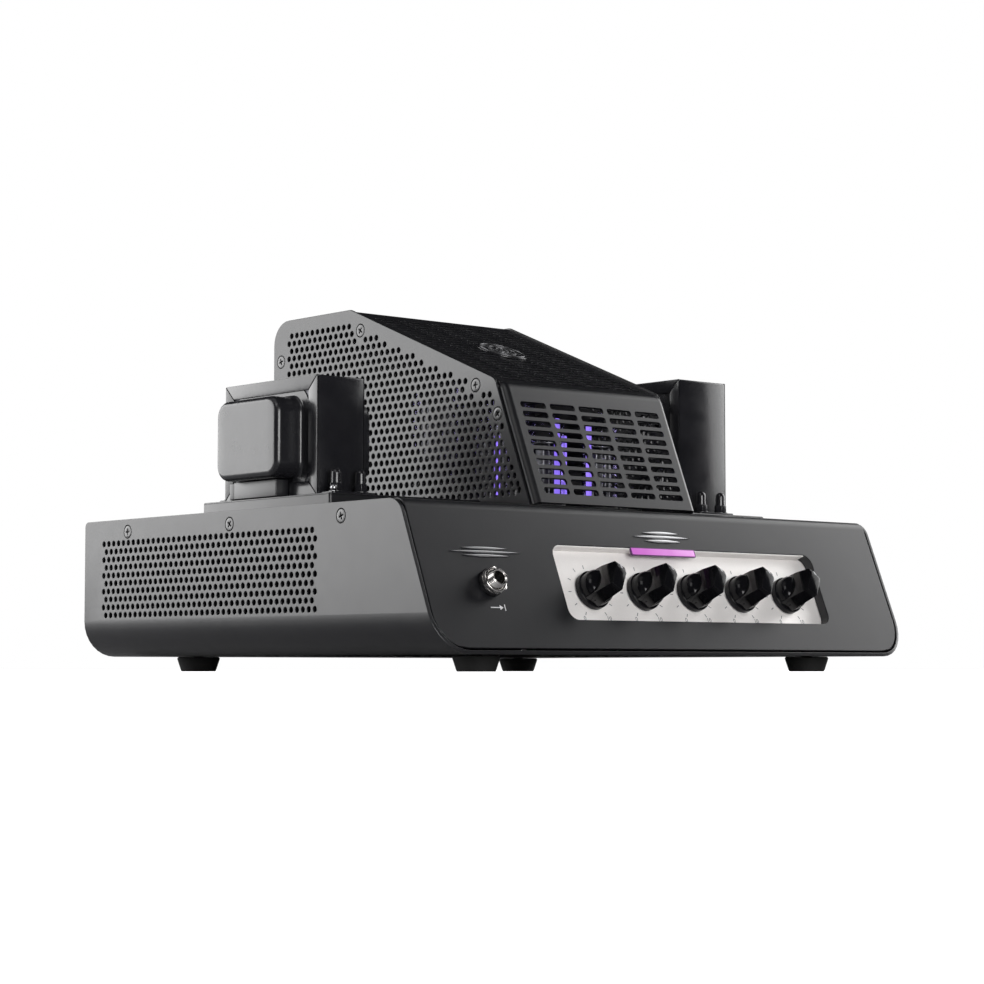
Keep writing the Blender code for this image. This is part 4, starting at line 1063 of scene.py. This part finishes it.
def mitred_flange(y_range, z_range):
    """Four strips of a picture frame, with open mitres, as outlines in (y, z)."""
    (y0, y1), (z0, z1) = y_range, z_range
    f, g = FRAME_FLANGE, MITRE_GAP
    return [
        [(y0 + g, z1), (y1 - g, z1), (y1 - f - g, z1 - f), (y0 + f + g, z1 - f)],
        [(y0 + g, z0), (y0 + f + g, z0 + f), (y1 - f - g, z0 + f), (y1 - g, z0)],
        [(y0, z0 + g), (y0, z1 - g), (y0 + f, z1 - f - g), (y0 + f, z0 + f + g)],
        [(y1, z0 + g), (y1 - f, z0 + f + g), (y1 - f, z1 - f - g), (y1, z1 - g)],
    ]


def add_cap_nut(bm, x, y, z):
    """Washer, hexagonal nut and domed cap on a bolt."""
    place = Matrix.Translation((x, y, z))
    add_sheet(bm, place @ lift(0.6), circle(4.2, 32), [], 0.6, 0.15)
    add_sheet(bm, place @ lift(4.6), fillet(circle(3.6, 6), [0.4] * 6, 3), [], 4.0, 0.3)
    profile = [(0, 4.4), (2.8, 4.4), (2.7, 9.6)]
    profile += arc((0, 9.6), 2.7, 10, 80, 6)
    profile += [(0, 12.3)]
    add_turned(bm, profile, 28, place)


def make_transformer_cover(name):
    """Folded cover: walls, mitred flanges on both faces, bolted feet with cap nuts."""
    node = name + "_transformer_cover"
    core_low, core_high = box(name + "_transformer_core")
    inset = FRAME_SHEET + 0.3
    x0, x1 = core_low.x - inset, core_high.x + inset
    z0, z1 = core_low.z - inset, core_high.z + inset
    y_range = (CORE_FRONT, CORE_REAR)
    bm = bmesh.new()
    inner = [(low + FRAME_SHEET, high - FRAME_SHEET) for low, high in (y_range, (z0, z1))]
    outer = rectangle(y_range, (z0, z1), 1.0, 4)
    add_sheet(bm, upright(1, x1 - 0.5), outer, [rectangle(*inner)], x1 - x0 - 1.0, 0.1)
    for side, surface in ((-1, -x0), (1, x1)):
        for strip in mitred_flange(y_range, (z0, z1)):
            add_sheet(bm, upright(side, surface), strip, [], FRAME_SHEET, 0.35)
    middle = (x0 + x1) / 2
    for y_foot, y_nut in (((y_range[0] - 12, y_range[0] + 0.6), y_range[0] - 6.5),
                          ((y_range[1] - 0.6, y_range[1] + 8), y_range[1] + 4)):
        add_sheet(bm, lift(z0 + SHEET), rectangle(around(middle, 14), y_foot, 1.5, 4), [], SHEET, 0.3)
        for step in (-NUT_STEP, NUT_STEP):
            add_cap_nut(bm, middle + step, y_nut, z0 + SHEET)
    add_piece(node + "_sheet", bm, GLOSS_BLACK, [node], angle=25)


def make_bell(node, side):
    """Drawn end bell: rounded cup with a flange that lies behind the cover's frame."""
    low, high = box(node)
    y_range, z_range = (low.y, high.y), (low.z, high.z)
    front, back = (low.x, high.x) if side < 0 else (high.x, low.x)
    root = back + side * 0.3
    front_round, corner = 3.4, 8.6
    steps = [(9.0, front), (front_round, front)]
    steps += [(front_round * (1 - math.sin(a)), front - side * front_round * (1 - math.cos(a)))
              for a in [math.pi / 2 * k / 6 for k in range(1, 7)]]
    steps += [(0.0, root + side * 2.0)]
    steps += [(-2.0 * (1 - math.cos(a)), root + side * 2.0 * (1 - math.sin(a)))
              for a in [math.pi / 2 * k / 5 for k in range(1, 6)]]
    steps += [(-6.5, root), (-6.5, root - side * 0.25)]
    rings = []
    for inset, x in steps:
        loop = rectangle((y_range[0] + inset, y_range[1] - inset), (z_range[0] + inset, z_range[1] - inset),
                         max(corner - inset, 1.2), 10)
        rings.append([(x, y, z) for y, z in loop])
    bm = bmesh.new()
    add_loft(bm, rings)
    add_piece(node + "_cup", bm, BELL_BLACK, [node], angle=30)


def make_lead_box():
    """Small box under the left outer bell, with a separate end strip."""
    low, high = box("left_lead_box")
    bm = bmesh.new()
    split = high.y - 4.5
    add_block(bm, low, (high.x, split - 0.3, high.z), 0.5)
    add_block(bm, (low.x + 0.6, split, low.z), (high.x, high.y, high.z - 0.4), 0.5)
    add_piece("left_lead_box_body", bm, BLACK_COAT, ["left_lead_box"])


def make_earth_pin():
    """Small ball-headed earth pin beside the output transformer."""
    x, y, z = -147.0, -45.0, TRAY_HIGH.z
    radius = 1.8
    centre = (0, 3.7)
    profile = [(0, 0), (1.9, 0), (1.9, 0.5), (0.9, 0.7)]
    profile += arc(centre, radius, -58, 80, 10)
    profile += [(0, centre[1] + radius)]
    bm = bmesh.new()
    add_turned(bm, profile, 28, Matrix.Translation((x, y, z)))
    add_piece("earth_pin", bm, ORNAMENT)


HIGHLIGHT_STRIP_HALF = 1.4
HIGHLIGHT_STRIP_PLACES = {                     # x, y and top of each glowing strip, a painted highlight on the glass
    "preamp_valve_1": [(-43.1, -53.4, 127)],
    "preamp_valve_2": [(0.2, -53.7, 139), (7.0, -51.9, 130)],
    "preamp_valve_3": [(31.1, -46.0, 139)],
}


def make_preamp_valve(node):
    """Small valve: glass with a nipple, plates between mica discs, and glowing strips inside that paint the
    highlights of violet light on the glass.
    """
    place, radius, height = standing(node)
    shoulder = height - 13
    profile = [(0, 0), (radius - 2.5, 0)]
    profile += arc((radius - 2.5, 2.5), 2.5, -80, 0, 5)
    profile += arc((radius - 8.0, shoulder), 8.0, 0, 72, 8)
    profile += [(2.4, height - 4.4), (1.2, height - 2.6), (0.8, height - 0.6), (0, height)]
    bm = bmesh.new()
    add_turned(bm, profile, 40, place)
    add_piece(node + "_glass", bm, VALVE_GLASS, [node])
    bm = bmesh.new()
    for x in (-3.4, 3.4):
        add_block(bm, (x - 2.6, -3.4, 9), (x + 2.6, 3.4, 31), 1.2, 3, place)
    for z in (8, 32):
        add_sheet(bm, place @ lift(z), circle(radius - 1.3, 32), [], 0.6, 0.1)
    for x, y in circle(5.4, 6):
        add_turned(bm, [(0, 1), (0.4, 1), (0.4, 35), (0, 35)], 8, place @ Matrix.Translation((x, y, 0)))
    add_piece(node + "_plates", bm, PLATE_METAL)
    # Each strip glows as a painted highlight where violet light catches the glass; it is no lamp.
    for number, (x, y, top) in enumerate(HIGHLIGHT_STRIP_PLACES[node], 1):
        bm = bmesh.new()
        low = (x - HIGHLIGHT_STRIP_HALF, y - HIGHLIGHT_STRIP_HALF, place.translation.z + 1)
        add_block(bm, low, (x + HIGHLIGHT_STRIP_HALF, y + HIGHLIGHT_STRIP_HALF, top), 0.9)
        add_piece(f"{node}_glow_{number}", bm, VIOLET_PAINTED_HIGHLIGHT)


def make_power_valve(node):
    """Large valve: moulded base, waisted bottle, box anode between mica discs."""
    place, radius, height = standing(node)
    base = [(0, 0), (radius - 1.0, 0), (radius, 1.0), (radius, 12)]
    base += arc((radius - 1.5, 12.4), 1.5, 0, 80, 4) + [(0, 14)]
    bm = bmesh.new()
    add_turned(bm, base, 40, place)
    add_piece(node + "_base", bm, GLOSS_PLASTIC, [node])
    profile = [(0, 13.5), (12.6, 13.5), (12.6, 17), (13.4, 22), (15.2, 30), (radius, 36), (radius, 58)]
    profile += arc((radius - 10, height - 18), 10, 0, 50, 6)
    profile += [(9.2, height - 7.5), (4.0, height - 3.0), (0, height - 1.5)]
    bm = bmesh.new()
    add_turned(bm, profile, 48, place)
    add_piece(node + "_glass", bm, VALVE_GLASS)
    bm = bmesh.new()
    add_block(bm, (-9, -5.5, 24), (9, 5.5, 56), 2.2, 4, place)
    for z in (23, 58):
        add_sheet(bm, place @ lift(z), circle(12.4, 32), [], 0.7, 0.1)
    add_piece(node + "_plates", bm, PLATE_METAL)


# ---------------------------------------------------------------- rear fittings

def soften(node, finish, width=0.35):
    """Keep a solid as it is, with eased edges and a finish of its own."""
    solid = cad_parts[node]
    weld = solid.modifiers.new("weld", "WELD")
    weld.merge_threshold = 1e-6
    if width:
        bevel = solid.modifiers.new("edges", "BEVEL")
        bevel.width = width * MM
        bevel.segments = 2
        bevel.limit_method = "ANGLE"
        bevel.angle_limit = math.radians(35)
        bevel.harden_normals = False
    solid.data.materials.clear()
    solid.data.materials.append(finish)


def add_ring(bm, x, outer, inner, thick, surface, edge=0.3):
    """Ring that faces backward at a fitting."""
    place = Matrix.Translation((x, surface, REAR_Z)) @ tilt(-90)
    add_sheet(bm, place, circle(outer, 48), [circle(inner, 48)] if inner else [], thick, edge)


def make_rear_details():
    """Contacts and nuts of the rear fittings, and the cap of the fuse holder."""
    face = REAR_FACE + 1.9
    bm = bmesh.new()
    inlet = centre_of("mains_inlet")
    for x, z in ((-7, -1.5), (0, 2.5), (7, -1.5)):
        add_block(bm, (inlet.x + x - 1.1, REAR_FACE - 13.5, REAR_Z + z - 2),
                  (inlet.x + x + 1.1, REAR_FACE - 1.5, REAR_Z + z + 2), 0.5)
    fuse = centre_of("fuse_holder")
    add_ring(bm, fuse.x, 6.9, 5.6, 1.0, face + 0.9)
    jack = centre_of("speaker_jack")
    add_ring(bm, jack.x, 6.4, 3.3, 2.0, face + 1.9, 0.4)
    connector = centre_of("di_connector")
    pin = [(0, -14), (1.15, -14), (1.15, -3.5), (0.6, -2.6), (0, -2.4)]
    for x, z in circle(5.2, 3, (connector.x, REAR_Z)):
        add_turned(bm, pin, 16, Matrix.Translation((x, REAR_FACE + 1.5, z)) @ tilt(-90))
    add_piece("rear_contacts", bm, NICKEL)
    bm = bmesh.new()
    add_ring(bm, fuse.x, 5.4, 0, 3.6, face + 3.4, 0.6)
    add_block(bm, (fuse.x - 4, face + 3.2, REAR_Z - 0.7), (fuse.x + 4, face + 4.0, REAR_Z + 0.7), 0.3)
    add_piece("fuse_cap", bm, GLOSS_PLASTIC)


make_case_wrap()
make_chassis()
make_cage_cover()
make_cage_side("left", -1)
make_cage_side("right", 1)
for side, word in ((-1, "left"), (1, "right")):
    for kind, count in (("side_screw", 3), ("cage_screw", 4)):
        for number in range(1, count + 1):
            make_screw(f"{kind}_{word}_{number}", side, 37 * number + 20 * side)
for node in ("foot_front_left", "foot_front_right", "foot_rear_left", "foot_rear_right"):
    make_foot(node)
make_faceplate()
make_light_bar()
make_ornaments()
make_badge()
for node, x in zip(KNOBS, KNOB_X):
    make_knob(node, x)
make_jack()
make_tray()
for name in ("output", "mains"):
    make_transformer_cover(name)
    for word, side in (("left", -1), ("right", 1)):
        make_bell(f"{name}_transformer_{word}_bell", side)
    soften(f"{name}_transformer_core", LAMINATION)
make_lead_box()
make_earth_pin()
for number in (1, 2, 3):
    make_preamp_valve(f"preamp_valve_{number}")
for number in (1, 2):
    make_power_valve(f"power_valve_{number}")
for node in ("mains_inlet", "power_switch", "standby_switch", "fuse_holder", "speaker_jack"):
    soften(node, PLASTIC)
for node in ("power_rocker", "standby_rocker", "ground_lift_button"):
    soften(node, GLOSS_PLASTIC, 0.5)
soften("di_connector", SCREW_METAL, 0.4)
soften("control_board", CONTROL_BOARD, 0)
soften("valve_socket_board", SOCKET_BOARD, 0)
soften("main_board", MAIN_BOARD, 0)
make_rear_details()


# ---------------------------------------------------------------- stage

def make_floor():
    """Pale floor, shaded by the object near it, that fades into the white surround."""
    bm = bmesh.new()
    bmesh.ops.create_grid(bm, x_segments=1, y_segments=1, size=12.0)
    mesh = bpy.data.meshes.new("floor")
    bm.to_mesh(mesh)
    bm.free()
    floor = new_object("floor", mesh)
    material, nodes = new_material("floor")
    seen = nodes.to_eye()
    distance = nodes.add("VectorMath", "Value", {0: nodes.add("NewGeometry", "Position")},
                         operation="LENGTH")
    fade = nodes.remap(distance, 0.72, 1.0, 0.3, 2.5)
    glow = nodes.add("Math", 0, {0: seen, 1: fade}, operation="MULTIPLY")
    nodes.feed(nodes.main, {"Base Color": nodes.mix(seen, (0.36, 0.36, 0.37, 1), (0.90, 0.90, 0.90, 1)),
                            "Roughness": 0.8, "Emission Color": (1, 1, 1, 1), "Emission Strength": glow})
    mesh.materials.append(material)


def make_surround():
    """White to the camera and nearly black to the object, which the lights alone show."""
    world = bpy.data.worlds.new("studio")
    bpy.context.scene.world = world
    nodes = Nodes(world, "Background")
    nodes.feed(nodes.main, {"Color": nodes.mix(nodes.to_eye(), (0.014, 0.014, 0.016, 1), (1, 1, 1, 1))})


TARGET = (0.0, 0.0, 0.1)
SOFTBOXES = {                       # direction, distance, size and radiance
    "left_box": ((-0.65, 0.74, 0.15), 1.3, (1.6, 1.1), 5.2),
    "front_box": ((1.0, -0.24, 0.42), 1.15, (0.9, 1.0), 3.0),
    "top_box": ((-0.5, 0.1, 1.0), 1.6, (1.0, 1.0), 0.5),
    "right_box": ((1.0, -0.1, 0.25), 1.5, (0.9, 0.7), 2.2),
    "near_box": ((-0.35, -1.0, 0.12), 1.7, (0.9, 0.6), 9.5),
    "back_box": ((0.68, 0.85, 0.08), 1.5, (0.9, 0.7), 3.0),
    "tip_box": ((0.865, 0.448, 0.226), 1.28, (0.46, 0.30), 0.5),
    "spark_box": ((-0.62, -0.33, 0.64), 1.3, (0.5, 0.5), 2.5),
}


def add_softbox(name, direction, distance, size, radiance):
    """Rectangular light that faces the middle of the object."""
    data = bpy.data.lights.new(name, "AREA")
    data.shape = "RECTANGLE"
    data.size, data.size_y = size
    data.energy = radiance * size[0] * size[1] * math.pi
    light = new_object(name, data)
    away = Vector(direction).normalized()
    light.location = Vector(TARGET) + away * distance
    light.rotation_mode = "QUATERNION"
    light.rotation_quaternion = away.to_track_quat("Z", "Y")
    light.visible_camera = False


def make_camera():
    data = bpy.data.cameras.new("camera")
    data.lens = 93.05
    data.sensor_width = 36.0
    data.clip_start = 0.001
    camera = new_object("camera", data)
    camera.location = (-0.93642, -1.08798, 0.001)
    camera.rotation_euler = (math.radians(93.994), 0, math.radians(-40.694))
    bpy.context.scene.camera = camera


make_floor()
make_surround()
for name, settings in SOFTBOXES.items():
    add_softbox(name, *settings)
make_camera()
bpy.context.scene.view_settings.view_transform = "Standard"
